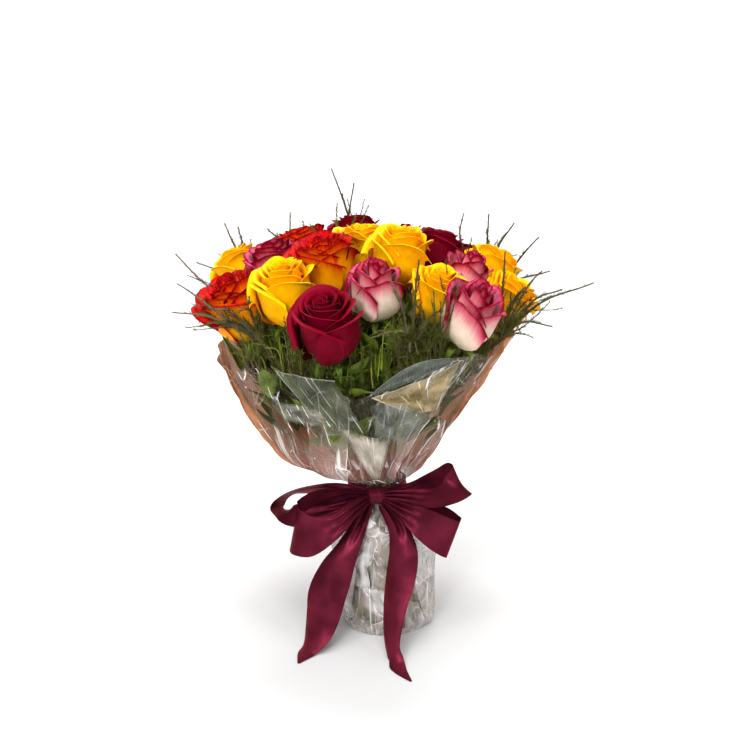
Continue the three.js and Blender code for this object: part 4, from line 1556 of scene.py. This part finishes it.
@dataclass(frozen=True)
class FernCollar:
    """Ferns that fill the gaps between the heads and the film's rim, all the way round."""

    wands: int = 120
    inner_wands: int = 30
    leaves: int = 300
    strands: int = 200
    middle: Pair = (-21.0, 2.0)
    tufts: tuple[Tuft, ...] = (
        Tuft(40, -96, 262, 340, 8), Tuft(56, -72, 270, 356, 6), Tuft(14, -104, 258, 322, 6),
        Tuft(28, -104, 256, 318, 5), Tuft(-76, -100, 258, 312, 5), Tuft(-108, -66, 262, 316, 5),
        Tuft(76, -66, 262, 330, 6), Tuft(-46, 20, 300, 392, 5), Tuft(-18, -50, 290, 362, 3),
        Tuft(96, 10, 270, 344, 4), Tuft(-70, 86, 290, 366, 4), Tuft(40, 104, 280, 350, 4),
    )
    tuft_spread: Place = (3.0, 8.0, 17.0)  # at a wand's root, bend and tip

    def out(self, far: float, angle: float) -> Points:
        """A flat point so far from the middle."""
        return self.middle + polar(far, angle)

    def filling(self, kit: Kit, wrap: "FilmWrap") -> Object:
        """Broad leaves under and between the heads, down into the wrap.

        Args:
            kit: Templates and materials.
            wrap: The film that they stay inside.

        Returns:
            The object.
        """
        rng = np.random.default_rng(78)
        heights, radii, _ = np.array(wrap.profile)[wrap.waist_row:].T
        work = Patchwork()
        for _ in range(self.leaves):
            angle, high = rng.uniform(0, TURN), mix(172, 286, rng.uniform() ** 0.75)
            far = np.interp(high, heights, radii) * math.sqrt(rng.uniform(0.1, 0.82))
            far = far * mix(1, 0.82, high > 255)
            root = np.array([*self.out(far, angle), high]) - [9 * (high < 250), 0, 0]
            way = unit(np.array([*polar(1.0, angle + rng.uniform(-0.9, 0.9)), rng.uniform(0.4, 2.2)]))
            sprig = LeafSprig(root, way, leaflet=rng.uniform(28, 42), broad=rng.uniform(0.3, 0.58))
            points = sprig.leaflet_points(kit.blade.uv, root, way, sprig.leaflet, rng)
            work.add(kit.blade, points)
        return hand_in(work.build("leaf_filling", [kit.leaf], 0.3), "rose_green")

    def grass(self, kit: Kit, steps: int = 9) -> Object:
        """Fine bright strands that curl between the heads and over the rim.

        Args:
            kit: Templates and materials.
            steps: Points along a strand.

        Returns:
            The object.
        """
        rng = np.random.default_rng(79)
        lines = []
        for _ in range(self.strands):
            angle, far = rng.uniform(0, TURN), rng.uniform(78, 112)
            root = np.array([*self.out(far, angle), rng.uniform(246, 272)])
            side = polar(1.0, angle + rng.uniform(-1.3, 1.3))
            reach, rise = rng.uniform(6, 26), rng.uniform(18, 46)
            bend = root + [*(side * reach * 0.3), rise * 0.7]
            tip = root + [*(side * reach), rise * rng.uniform(0.75, 1.0)]
            lines.append((spline(np.array([root, bend, tip]), steps), np.linspace(0.5, 0.16, steps)))
        return hand_in(tubes("grass_strands", lines, kit.grass, 4), "fern_green")

    def ring(self, thicket: Thicket) -> None:
        """Adds wands all the way round, and shorter ones between the heads.

        Args:
            thicket: What they are added to.
        """
        rng = np.random.default_rng(77)
        for k in range(self.wands):
            angle = TURN * (k + rng.uniform(-0.4, 0.4)) / self.wands
            reach = rng.uniform(0, 1)
            root = [*self.out(rng.uniform(44, 66), angle + 0.1), rng.uniform(196, 214)]
            bend = [*self.out(rng.uniform(88, 106), angle), rng.uniform(244, 262)]
            tip = [*self.out(mix(108, 132, reach), angle), mix(312, 284, reach) + rng.uniform(-8, 10)]
            wand = Wand(*np.array([root, bend, tip]), needles=110, reach=12.0, bare=0.1)
            thicket.add(wand, 4000 + k)
        for k in range(self.inner_wands):
            angle, far = rng.uniform(0, TURN), rng.uniform(20, 88)
            root = np.array([*self.out(far * 0.8, angle), 250])
            head = self.out(far, angle + rng.uniform(-0.2, 0.2))
            tip = np.array([*head, 372 - 0.5 * far + rng.uniform(-14, 6)])
            wand = Wand(root, 0.5 * (root + tip), tip, needles=60, reach=9.0, bare=0.15)
            thicket.add(wand, 5000 + k)

    def brushes(self, thicket: Thicket) -> None:
        """Adds close tufts of fern that stand up in front of the heads.

        Args:
            thicket: What they are added to.
        """
        rng = np.random.default_rng(80)
        for n, tuft in enumerate(self.tufts):
            for k in range(tuft.wands):
                spread = rng.normal(0, 1, 2)
                heights = tuft.low, 0.5 * (tuft.low + tuft.high), tuft.high - rng.uniform(0, 22)
                rows = np.array([[tuft.x, tuft.y, z] for z in heights])
                rows[:, :2] += np.outer(self.tuft_spread, spread)
                thicket.add(Wand(*rows, reach=9.0, bare=0.12), 6000 + 50 * n + k)

    def build(self, kit: Kit) -> Object:
        """The piece.

        Args:
            kit: Templates and materials.

        Returns:
            The object.
        """
        thicket = Thicket(kit)
        self.ring(thicket)
        self.brushes(thicket)
        return thicket.build("fern_collar")


# ---------------------------------------- the film


@dataclass
class FilmWrap:
    """The film: closed under the stems, drawn in at the binding and flared to a pointed rim."""

    profile: tuple[Place, ...] = (  # height, radius, shift
        (0, 39, 0), (8, 45, 0), (88, 49, -2), (112, 44, 0), (122, 30, -6), (128.5, 24.6, -9),
        (141.5, 24.6, -9), (146.5, 36, -13), (153, 50, -20), (162, 62, -27), (180, 79, -31),
        (228, 108, -29), (248, 117, -27),
    )
    rim: tuple[Place, ...] = (  # bearing, height, radius
        (0, 286, 135), (10, 290, 135), (30, 274, 128), (60, 288, 127), (92, 270, 127), (122, 284, 127),
        (150, 267, 127), (180, 264, 127), (208, 258, 127), (236, 273, 131), (268, 250, 124),
        (286, 262, 129), (303, 287, 146), (318, 278, 142), (338, 278, 135), (360, 286, 135),
    )
    waist_row: int = 7  # the profile's first station above the waist
    waist: Pair = (-9.0, 135.0)  # its middle, across and up
    brim: tuple[Place, ...] = ((270.0, 127.0, -24.0), (300.0, 136.0, -24.0))
    rim_shift: float = -24.0
    pleat_rings: tuple[tuple[int, float, float], ...] = (  # pleats round the waist, depth, slant
        (7, 0.014, 0.4), (12, 0.014, -0.6), (19, 0.011, 0.9), (31, 0.007, -0.4),
    )
    columns: int = 264
    rows: int = 102
    floor_rows: int = 10  # of those, the rows of the closed bottom
    thickness: float = 0.15

    def surface(self, degrees: Points, share: Points) -> Points:
        """Points of the smooth form.

        Args:
            degrees: Bearing of each column.
            share: Share of the way from the foot's edge to the rim, for each row.

        Returns:
            Points by row and column.
        """
        bearings, heights, radii = np.array(self.rim).T
        shifts = np.full(len(degrees), self.rim_shift)
        top = [np.interp(degrees, bearings, heights), np.interp(degrees, bearings, radii), shifts]
        body = np.repeat(np.array(self.profile, float)[:, None], len(degrees), axis=1)
        stations = np.concatenate([body, np.stack(top, -1)[None]])
        spans = np.linalg.norm(np.diff(stations[:, 0], axis=0), axis=1)
        knots = np.concatenate([[0], np.cumsum(spans)]) / spans.sum()
        rows = np.empty((len(share), len(degrees), 3))
        for j, k in np.ndindex(len(degrees), 3):
            rows[:, j, k] = np.interp(share, knots, stations[:, j, k])
        for _ in range(2):
            rows[1:-1] = 0.25 * rows[:-2] + 0.5 * rows[1:-1] + 0.25 * rows[2:]
        angle = np.radians(degrees)[None]
        z, radius, shift = rows[..., 0], rows[..., 1], rows[..., 2]
        return np.stack([radius * np.cos(angle) + shift, radius * np.sin(angle), z], -1)

    def pleats(self, degrees: Points, rows: Points) -> Points:
        """How far pleats stand out, by row and column, most of all beside the waist.

        Args:
            degrees: Bearing of each column.
            rows: Points by row and column.

        Returns:
            Distances outwards.
        """
        angle = np.radians(degrees)[None]
        z = rows[..., 2]
        from_waist = z - self.waist[1]
        radius = np.hypot(rows[..., 0] - self.waist[0], rows[..., 1])
        near = np.exp(-((from_waist / 42) ** 2))
        total = np.zeros(z.shape)
        for count, size, slant in self.pleat_rings:
            phase = count * angle / TURN + slant * z / 90 + 0.37 * count
            total += size * (np.abs(2 * (phase % 1) - 1) - 0.5)
        return total * radius * (1 + 1.6 * near) * ease(np.abs(from_waist), 4, 20)

    def front(self, x: Points, z: Points) -> Points:
        """How far forward the film's front stands at a place seen from the front.

        Args:
            x: Places across.
            z: Heights.

        Returns:
            The front's y at each.
        """
        heights, radii, shifts = np.array(self.profile[self.waist_row:] + self.brim).T
        radius, shift = np.interp(z, heights, radii), np.interp(z, heights, shifts)
        return -np.sqrt(np.maximum(radius**2 - (x - shift) ** 2, 400))

    def body(self, degrees: Points, share: Points) -> Points:
        """The film from the foot's edge to the rim, with its folds and pleats.

        Args:
            degrees: Bearing of each column; the last one meets the first.
            share: Share of the way from the foot's edge to the rim, for each row.

        Returns:
            Points by row and column.
        """
        rows = self.surface(degrees, share)
        angle = np.radians(degrees)
        out = np.stack([np.cos(angle), np.sin(angle), 0 * angle], -1)
        normal = unit(np.cross(np.gradient(rows, axis=1), np.gradient(rows, axis=0)))
        z = rows[..., 2]
        tame = ease(np.abs(z - self.waist[1]), 7, 30) * mix(0.75, 1.25, ease(z, 60, 200))
        step = crumple(rows * [1, 1, 0.42], (52, 37, 26, 18), 0.075, 5) * tame
        pleat = self.pleats(degrees, rows)
        for values in (normal, step, pleat):
            values[:, -1] = values[:, 0]
        rows = rows + normal * step[..., None] + out[None] * pleat[..., None]
        rows[..., 2] = np.maximum(rows[..., 2], 0)
        rows[0, :, 2] = 0
        return rows

    def build(self) -> Object:
        """The piece."""
        sheet = Template.grid(self.columns, self.rows)
        degrees = np.linspace(0, 360, self.columns + 1)
        body = self.body(degrees, np.linspace(0, 1, self.rows + 1 - self.floor_rows) ** 0.9)
        disc = np.stack([body[0] * (k / self.floor_rows) for k in range(self.floor_rows)])
        placed = np.empty_like(sheet.points)
        placed[np.lexsort((sheet.uv[:, 0], sheet.uv[:, 1]))] = np.concatenate([disc, body]).reshape(-1, 3)
        piece = merged(patch("film", sheet, placed, FilmFinish().build()))
        thicken(piece, self.thickness)
        return hand_in(piece, "clear_film", "film_wrap")


@dataclass(frozen=True)
class FilmCorner:
    """A corner of the film folded over the front of the wrap."""

    name: str
    corners: tuple[Pair, ...]  # across and up: low left, low right, high right, high left
    finish: CornerFinish
    stand: float = 3.0
    bulge: float = 5.0
    arch: float = 0.0  # how far the top edge is rounded up
    seed: int = 1
    thickness: float = 0.15

    def build(self, sheet: Template, wrap: FilmWrap) -> Object:
        """The piece, laid over the wrap's front.

        Args:
            sheet: A grid.
            wrap: The film.

        Returns:
            The object.
        """
        u, v = sheet.uv[:, 0], sheet.uv[:, 1]
        low_left, low_right, high_right, high_left = (np.array(c, float) for c in self.corners)
        low = low_left + np.outer(u, low_right - low_left)
        high = high_left + np.outer(u, high_right - high_left)
        flat = mix(low, high, v[:, None])
        flat[:, 1] += self.arch * np.sin(math.pi * u) * v
        y = wrap.front(flat[:, 0], flat[:, 1])
        out = self.stand + self.bulge * np.sin(math.pi * u) * np.sin(0.5 * math.pi * v) ** 1.2
        points = np.column_stack([flat[:, 0], y - out, flat[:, 1]])
        points[:, 1] += crumple(points * [1, 1, 0.6], (34, 22, 13), 0.07, self.seed)
        return hand_in(patch(self.name, sheet, points, self.finish.build(), self.thickness), "clear_film")


CORNERS = [
    FilmCorner("film_corner_left", ((-60, 231), (-17, 213), (-43, 267), (-92, 271)),
               CornerFinish("film_olive", (0.035, 0.042, 0.022), (0.14, 0.15, 0.1), cover=0.26),
               stand=2.5, bulge=6, arch=2, seed=3),
    FilmCorner("film_corner_right", ((-15, 253), (57, 279), (57, 280), (-15, 254)),
               CornerFinish("film_slate", (0.06, 0.07, 0.062), (0.17, 0.19, 0.17), cover=0.42, glint=0.1),
               stand=4, bulge=5, arch=15, seed=5),
    FilmCorner("film_corner_gold", ((20, 232), (42, 231), (59, 277), (-14, 251)),
               CornerFinish("film_gold", (0.16, 0.11, 0.035), (0.56, 0.42, 0.2), cover=0.5),
               stand=2, bulge=3, seed=7),
    FilmCorner("film_corner_clear", ((-12, 204), (16, 202), (34, 227), (-15, 243)),
               CornerFinish("film_pearl", (0.12, 0.13, 0.12), (0.4, 0.42, 0.4), cover=0.1, soft=0.14),
               stand=2.5, bulge=5, arch=11, seed=11),
    FilmCorner("film_corner_cream", ((-12, 158), (-7, 158), (4, 206), (-41, 223)),
               CornerFinish("film_cream", (0.42, 0.36, 0.29), (0.8, 0.74, 0.63), cover=0.4, soft=0.2),
               stand=4, bulge=4, seed=9),
    FilmCorner("film_corner_crushed", ((-88, 220), (-44, 222), (-53, 241), (-98, 242)),
               CornerFinish("film_crushed", (0.1, 0.1, 0.07), (0.5, 0.48, 0.4), 0.2, glint=1.0, soft=0.22),
               stand=3, bulge=5, arch=2, seed=13),
]


# ---------------------------------------- the ribbon


RIBBON = 38.0  # its width


@dataclass
class SatinStrip:
    """A run of ribbon: middle points, the direction across and the width seen at each."""

    name: str
    middle: Points
    across: Points
    width: Points
    full: float  # width of the ribbon laid flat
    ends: Points  # share by which the cut itself tapers
    pleats: int = 3
    thickness: float = 0.4
    curl: float = 0.0
    closed: bool = True  # both ends go into the knot

    def surface(self, uv: Points) -> Points:
        """The strip's points, gathered in lengthwise pleats where it is narrower than the ribbon.

        Args:
            uv: Places on the strip.

        Returns:
            Its points.
        """
        s, t = 2 * uv[:, 0] - 1, uv[:, 1] * (len(self.middle) - 1)
        at, across, way = (read(rows, t) for rows in (self.middle, self.across, slopes(self.middle)))
        across = unit(across - way * np.sum(across * way, -1, keepdims=True))
        normal = np.cross(across, way)
        width, ends = read(np.column_stack([self.width, self.ends]), t).T
        tight = np.clip(width / np.maximum(self.full * ends, 1e-3), 0.25, 1)
        wave = width / self.pleats / TURN * np.sqrt(np.maximum(0, 2 * (1 / tight**2 - 1)))
        from_knot = np.minimum(uv[:, 1], 1 - uv[:, 1]) if self.closed else uv[:, 1]
        held = ends * (1 - ease(from_knot, 0.06, 0.25))
        wave = np.minimum(wave, (0.06 if self.closed else 0.09) * self.full) * held
        fold = np.sin(math.pi * self.pleats * s + 0.5) * wave
        fold = fold + self.curl * s**2 * width * ends
        points = at + across * (0.5 * s * width)[:, None] + normal * fold[:, None]
        points[:, 2] = np.maximum(points[:, 2], 0.45 + 0.02 * np.abs(s))
        return points

    def length(self) -> float:
        """Its length in metres."""
        return float(np.linalg.norm(np.diff(self.middle, axis=0), axis=1).sum()) * MM

    def shows(self) -> bool:
        """Whether the sheet's upper side faces forward where the ribbon runs in front."""
        place = round((0.75 if self.closed else 0.5) * (len(self.middle) - 1))
        return float(np.cross(self.across[place], slopes(self.middle)[place])[1]) < 0

    def build(self, sheet: Template, finishes: Sequence[Material], held: str) -> Object:
        """The piece, with its shining side out and its dull side in.

        Args:
            sheet: A grid.
            finishes: The shining material and the darker dull one, the ribbon's dull back made darker as
                painted shade inside the loops.
            held: Not used.

        Returns:
            The object.
        """
        work = Patchwork()
        # The shining side goes out; the darker dull copy on the inner faces is partly painted shade.
        upper = self.shows()
        work.add(sheet, self.surface(sheet.uv), 0 if upper else 1)
        piece = work.build(self.name, finishes, self.thickness, 1 if upper else -1)
        hand_in(piece, "satin_ribbon", "ribbon_" + self.name)
        area = min(float(np.mean(self.ends)), 1.0) * self.full * MM * self.length()
        flat = (self.full * MM, self.length())
        return piece


# The loops from the knot round and back to it: at each station the middle point, the direction
# across and the width seen.
LOOPS = {
    "loop_left_back": (
        (-14.5, -35, 138, -0.09, 0.15, -0.98, 6.5), (-36.3, -32, 141.2, -0.07, 0.5, -0.86, 15.7),
        (-58.4, -29, 140.5, -0.07, 0.8, -0.6, 27.5), (-74.9, -27.5, 137.9, -0.01, 0.86, -0.51, 30.4),
        (-86.8, -27, 135, 0.16, 0.91, -0.38, 30.4), (-96.1, -27, 128.3, 0.3, 0.9, -0.3, 30.4),
        (-99.1, -28, 120.8, 0.32, 0.88, -0.36, 30.4), (-94.6, -30, 116.4, 0.33, 0.94, -0.11, 27.7),
        (-84.2, -33, 115.9, 0.13, 0.86, 0.48, 25.5), (-65.4, -34, 117.5, -0.03, 0.73, 0.68, 27.3),
        (-41.4, -35, 124.2, -0.02, 0.76, 0.66, 18.5), (-15, -36, 134.3, 0, 0.68, 0.73, 5.9),
    ),
    "loop_left_front": (
        (-14.5, -38, 137.9, -0.08, -0.15, -0.99, 6.7), (-32.7, -34.5, 137.6, -0.07, 0.2, -0.97, 12.8),
        (-48.8, -30.5, 131.3, -0.07, 0.34, -0.93, 25.9), (-64.6, -28, 123, -0.1, 0.36, -0.93, 35.7),
        (-76.1, -31, 115, -0.11, 0.22, -0.97, 39), (-82.3, -41, 110.5, -0.17, 0, -0.98, 41),
        (-82.6, -51, 110.2, -0.19, -0.13, -0.97, 41), (-78.8, -60.5, 110.6, -0.18, -0.11, -0.98, 41),
        (-68.7, -69, 111.5, -0.12, -0.16, -0.98, 37.5), (-55, -71.5, 116.3, -0.05, -0.29, -0.96, 26.5),
        (-41.1, -66, 122.8, 0.06, -0.5, -0.87, 18), (-28.9, -54, 130.2, 0.13, -0.29, -0.95, 13.9),
        (-14.5, -42, 136.7, 0.07, -0.12, -0.99, 8.2),
    ),
    "loop_right_upper": (
        (-4, -38.5, 138.9, 0, 0, -1, 6.2), (8.6, -37, 140.3, 0.16, 0.2, -0.96, 8.8),
        (22.1, -38, 143.6, 0.17, 0.55, -0.8, 17), (36.2, -38, 148.5, 0.2, 0.64, -0.74, 29),
        (49, -40, 152.4, 0.3, 0.5, -0.81, 33), (58, -43, 154.6, 0.4, 0.05, -0.91, 32.7),
        (63, -50, 156, 0.46, -0.2, -0.86, 29), (62, -58, 154, 0.5, -0.56, -0.65, 28),
        (55, -64, 149.5, 0.4, -0.8, -0.44, 26), (42.5, -65, 145, 0.3, -0.87, -0.38, 22.5),
        (27.5, -58.5, 142.5, 0.27, -0.86, -0.42, 18), (12.6, -50, 140, 0.28, -0.76, -0.56, 12),
        (-4, -42.5, 138.8, 0, -0.16, -0.99, 6.3),
    ),
    "loop_right_lower": (
        (-4, -38, 135.8, 0, 0, -1, 6.2), (9, -36.5, 129, -0.14, -0.2, -0.97, 10.1),
        (21, -35, 121.6, -0.16, -0.19, -0.97, 21), (33.5, -34, 114.9, -0.16, -0.16, -0.97, 31.2),
        (44.9, -36, 108.2, -0.18, -0.13, -0.97, 37.2), (54.1, -40.5, 102.7, -0.25, -0.12, -0.96, 38.5),
        (59.2, -47.5, 100.4, -0.32, -0.13, -0.94, 38.5), (55.8, -54.5, 102.4, -0.41, -0.14, -0.9, 34.8),
        (45.1, -60.5, 110.4, -0.34, -0.16, -0.93, 32.2), (30.9, -62.5, 120.5, -0.28, -0.19, -0.94, 26.7),
        (19.4, -58, 126.5, -0.26, -0.21, -0.94, 19.4), (7.9, -50, 130.7, -0.27, -0.16, -0.95, 12.1),
        (-4, -42.5, 135, 0, -0.16, -0.99, 6.3),
    ),
}
LOOP_WIDTHS = {"loop_left_back": 30.4, "loop_right_lower": 36.1}  # where narrower than the ribbon


# The tails down to the surface: at each station the same numbers as for the loops.
TAILS = {
    "tail_left": (
        (-16, -41, 131, 0.9, 0.1, 0.3, 8), (-25, -47, 113, 0.88, 0.1, 0.4, 14),
        (-38, -56, 89, 0.9, -0.1, 0.36, 23), (-48, -59, 69, 0.93, -0.2, 0.3, 32),
        (-56, -61, 50, 0.9, -0.3, 0.26, 36), (-61, -63, 32, 0.82, -0.5, 0.2, 36),
        (-66, -66, 15, 0.7, -0.66, 0.1, 32), (-71, -73, 3.5, 0.6, -0.78, 0.02, 20),
        (-78, -92, 0.5, 0.8, -0.6, 0, 2),
    ),
    "tail_right": (
        (-4, -41, 130, 0.85, -0.1, -0.3, 9), (8, -49, 114, 0.86, -0.1, -0.3, 16),
        (12, -55, 101, 0.9, -0.3, -0.2, 22), (12.6, -60, 88, 0.88, -0.46, 0, 28),
        (9, -63, 68, 0.8, -0.56, 0.1, 31), (4, -69, 46, 0.68, -0.7, 0.1, 29),
        (1, -79, 20, 0.52, -0.82, 0.1, 26), (4, -90, 5, 0.55, -0.82, 0.05, 20),
        (12, -108, 0.5, 0.8, -0.55, 0, 11), (20, -124, 0.5, 0.9, -0.4, 0, 2),
    ),
}


TAIL_CUTS = {"tail_left": 0.82, "tail_right": 0.78}  # share of the length where the slanting cut starts


@dataclass(frozen=True)
class BowKnot:
    """The bow's middle: a band of ribbon drawn over the loops in upright folds."""

    centre: Place = (-9, -37.5, 137)
    half: Place = (10, 8.5, 7.8)
    squareness: float = 2.8

    def build(self, ball: Template, finish: Material) -> Object:
        """The piece.

        Args:
            ball: A ball of radius one.
            finish: The ribbon's material.

        Returns:
            The object.
        """
        x, y, z = ball.points.T
        around = np.arctan2(z, -y)
        power = self.squareness
        square = (np.abs(x) ** power + np.hypot(y, z) ** power + 1e-9) ** (-1 / power)
        waves = 0.07 * np.sin(9.5 * x + 0.9 * np.sin(around)) + 0.03 * np.sin(21 * x + 1.4 * around)
        flare = 1 + 0.1 * ease(np.abs(x), 0.3, 0.95)
        thick = square * (1 + waves) * flare * 0.97
        points = np.column_stack([x * square, y * thick, z * thick]) * self.half + self.centre
        uv = np.column_stack([0.5 + 0.5 * x, around / TURN + 0.5])
        piece = merged(patch("ribbon_knot_folds", ball, points, finish, uv=uv))
        return hand_in(piece, "satin_ribbon", "ribbon_knot")


@dataclass(frozen=True)
class WaistBand:
    """The ribbon round the waist: a closed band with lengthwise folds."""

    inner: float = 25.8
    outer: float = 27.4
    height: float = 12.0
    folds: int = 3
    depth: float = 0.35
    waist: Place = (-9, 0, 135)

    def build(self, ring: Template, finish: Material) -> Object:
        """The piece.

        Args:
            ring: A ring about +Z.
            finish: The ribbon's material.

        Returns:
            The object.
        """
        angle, v = ring.uv.T * TURN
        c, s = np.cos(v), np.sin(v)
        square = (np.abs(c) ** 6 + np.abs(s) ** 6) ** (-1 / 6)
        across = 0.5 * (self.outer - self.inner) * c * square
        z = 0.5 * self.height * s * square
        wave = np.sin(self.folds * TURN * z / self.height / 2 + 2.2 * np.sin(angle + 0.6) + 0.4)
        out = 0.5 * (self.outer + self.inner) + across + self.depth * (wave - 1) * (c > 0)
        points = np.column_stack([polar(out, angle), z]) + self.waist
        uv = np.column_stack([0.5 + z / self.height, 8 * ring.uv[:, 0]])
        return hand_in(patch("band", ring, points, finish, uv=uv), "satin_ribbon", "ribbon_band")


@dataclass(frozen=True)
class Bow:
    """The whole bow: the waist band, the knot, four loops and two tails."""

    spans: int = 96  # along a loop
    tail_spans: int = 90
    cut: float = 0.92  # share of its width that a tail loses at its slanting cut

    def loop(self, name: str) -> SatinStrip:
        """A loop's run of ribbon through its stations."""
        rows, full = spline(LOOPS[name], self.spans + 1), LOOP_WIDTHS.get(name, RIBBON)
        return SatinStrip(name, rows[:, :3], unit(rows[:, 3:6]), rows[:, 6], full, np.ones(len(rows)))

    def tail(self, name: str) -> SatinStrip:
        """A tail's run of ribbon through its stations, which lies on the surface at its end.

        Args:
            name: The tail's name.

        Returns:
            The strip.
        """
        rows = spline(TAILS[name], self.tail_spans + 1)
        middle, width = rows[:, :3], np.maximum(rows[:, 6], 1.0)
        middle[:, 2] = np.maximum(middle[:, 2], 0.5)
        ends = 1 - self.cut * ease(np.linspace(0, 1, len(rows)), TAIL_CUTS[name], 1.0)
        return SatinStrip(name, middle, unit(rows[:, 3:6]), width, RIBBON, ends, 2, curl=0.17, closed=False)

    def build(self) -> None:
        """Makes its pieces."""
        satin, dull = SATIN.build(), SATIN_REVERSE_SHADED.build()
        WaistBand().build(Template.ring(144, 32), satin)
        BowKnot().build(Template.ball(64, 40), satin)
        run = Template.grid(24, 120)
        for name in LOOPS:
            self.loop(name).build(run, (satin, dull), "folded")
        for name in TAILS:
            self.tail(name).build(run, (satin, dull), "hung")


@dataclass(frozen=True)
class TwineWinding:
    """Turns of twine that bind the stems under the film."""

    turns: int = 4
    inner: float = 21.7
    thick: float = 0.7
    height: float = 6.0
    middle: Place = (-9, 0, 128)

    def build(self) -> Object:
        """The piece."""
        share = np.linspace(0, 1, 48 * self.turns + 1)
        angle = TURN * self.turns * share
        radius = self.inner + self.thick + 0.06 * np.sin(40 * angle)
        z = (share - 0.5) * (self.height - 2 * self.thick)
        line = np.column_stack([polar(radius, angle), z]) + self.middle
        radii = self.thick * (1 + 0.08 * np.sin(24 * angle))
        piece = tubes("twine_turns", [(line, radii)], TwineFinish().build(), 8)
        return hand_in(piece, "twine", "binding_twine")


# ---------------------------------------- the studio


@dataclass(frozen=True)
class Lamp:
    """One round soft light."""

    name: str
    place: Place
    size: float
    power: float
    aim: Place = (0, 0, 0.2)

    def build(self) -> None:
        """Adds the light."""
        light = bpy.data.lights.new(self.name, "AREA")
        light.shape, light.size, light.energy = "DISK", self.size, self.power
        lamp = added(self.name, light)
        lamp.location = self.place
        lamp.rotation_euler = (Vector(self.aim) - lamp.location).to_track_quat("-Z", "Y").to_euler()


@dataclass(frozen=True)
class Studio:
    """A white sweep, soft lights and the camera, in metres."""

    target: Place = (-0.0108, 0.0, 0.238)
    distance: float = 1.125
    elevation: float = 15.0
    sky: float = 0.34  # strength of the light from all round
    floor_size: Pair = (7.0, 6.4)
    floor_front: float = 0.45  # share of the sweep's length in front of the bouquet
    wall: float = 1.6  # where the floor starts to turn up
    bend: float = 0.8  # radius of the turn
    lamps: tuple[Lamp, ...] = (
        Lamp("key", (-0.12, -1.1, 2.4), 1.9, 70.0),
        Lamp("fill", (1.6, -1.2, 1.2), 1.2, 6.0),
        Lamp("rim", (0.4, 1.4, 1.8), 1.0, 14.0),
        Lamp("backdrop", (0.0, 0.6, 2.6), 1.6, 100.0, (0, 2.4, 1.2)),
        Lamp("front", (-0.45, -1.5, 0.85), 0.4, 15.0),
        Lamp("glint_left", (-0.9, -1.1, 0.5), 0.08, 2.0),
        Lamp("glint_right", (1.1, -1.2, 0.9), 0.08, 2.5),
    )

    def sweep(self) -> None:
        """The floor, which turns up into a wall far behind."""
        sheet = Template.grid(40, 60)
        width, length = self.floor_size
        run = length * (sheet.uv[:, 1] - self.floor_front)
        past = np.clip(run - self.wall, 0, None)
        arc = np.minimum(past / self.bend, 0.5 * math.pi)
        y = np.where(past > 0, self.wall + self.bend * np.sin(arc), run)
        z = self.bend * (1 - np.cos(arc)) + np.clip(past - 0.5 * math.pi * self.bend, 0, None)
        points = np.column_stack([width * (sheet.uv[:, 0] - 0.5), y, z]) / MM
        floor = patch("studio_floor", sheet, points, FloorFinish().build())

    def lights(self) -> None:
        """The light from all round, and the lamps."""
        world = bpy.data.worlds.new("studio")
        bpy.context.scene.world = world
        world.use_nodes = True
        background = world.node_tree.nodes["Background"].inputs
        background[0].default_value, background[1].default_value = (1, 1, 1, 1), self.sky
        for lamp in self.lamps:
            lamp.build()

    def camera(self) -> None:
        """The camera, a little above the flowers' waist and in front."""
        data = bpy.data.cameras.new("camera")
        data.lens, data.sensor_width = 60, 36
        data.clip_start, data.clip_end = 0.01, 50
        camera = added("camera", data)
        lift = math.radians(self.elevation)
        back = Vector((0, -math.cos(lift), math.sin(lift)))
        camera.location = Vector(self.target) + back * self.distance
        camera.rotation_euler = (-back).to_track_quat("-Z", "Y").to_euler()
        bpy.context.scene.camera = camera

    def build(self) -> None:
        """Sets up the studio."""
        self.camera()
        self.lights()
        self.sweep()
        bpy.context.scene.view_settings.view_transform = "Standard"


def grow() -> None:
    """Makes the roses, ferns and leaves."""
    kit = Kit()
    for rose in ROSES:
        rose.bloom(kit)
        rose.greens(kit)
    for spray in SPRAYS:
        spray.build(kit)
    collar = FernCollar()
    collar.build(kit)
    collar.filling(kit, FilmWrap())
    collar.grass(kit)


def dress() -> None:
    """Binds the stems and makes the film and the satin bow."""
    TwineWinding().build()
    wrap = FilmWrap()
    wrap.build()
    corner = Template.grid(28, 28)
    for fold in CORNERS:
        fold.build(corner, wrap)
    Bow().build()


def main() -> None:
    """Builds the bouquet's pieces in order."""
    logging.basicConfig(level=logging.INFO, format="%(message)s")
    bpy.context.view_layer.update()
    bpy.ops.object.select_all(action="DESELECT")
    Studio().build()
    grow()
    dress()


if __name__ == "__main__":
    main()
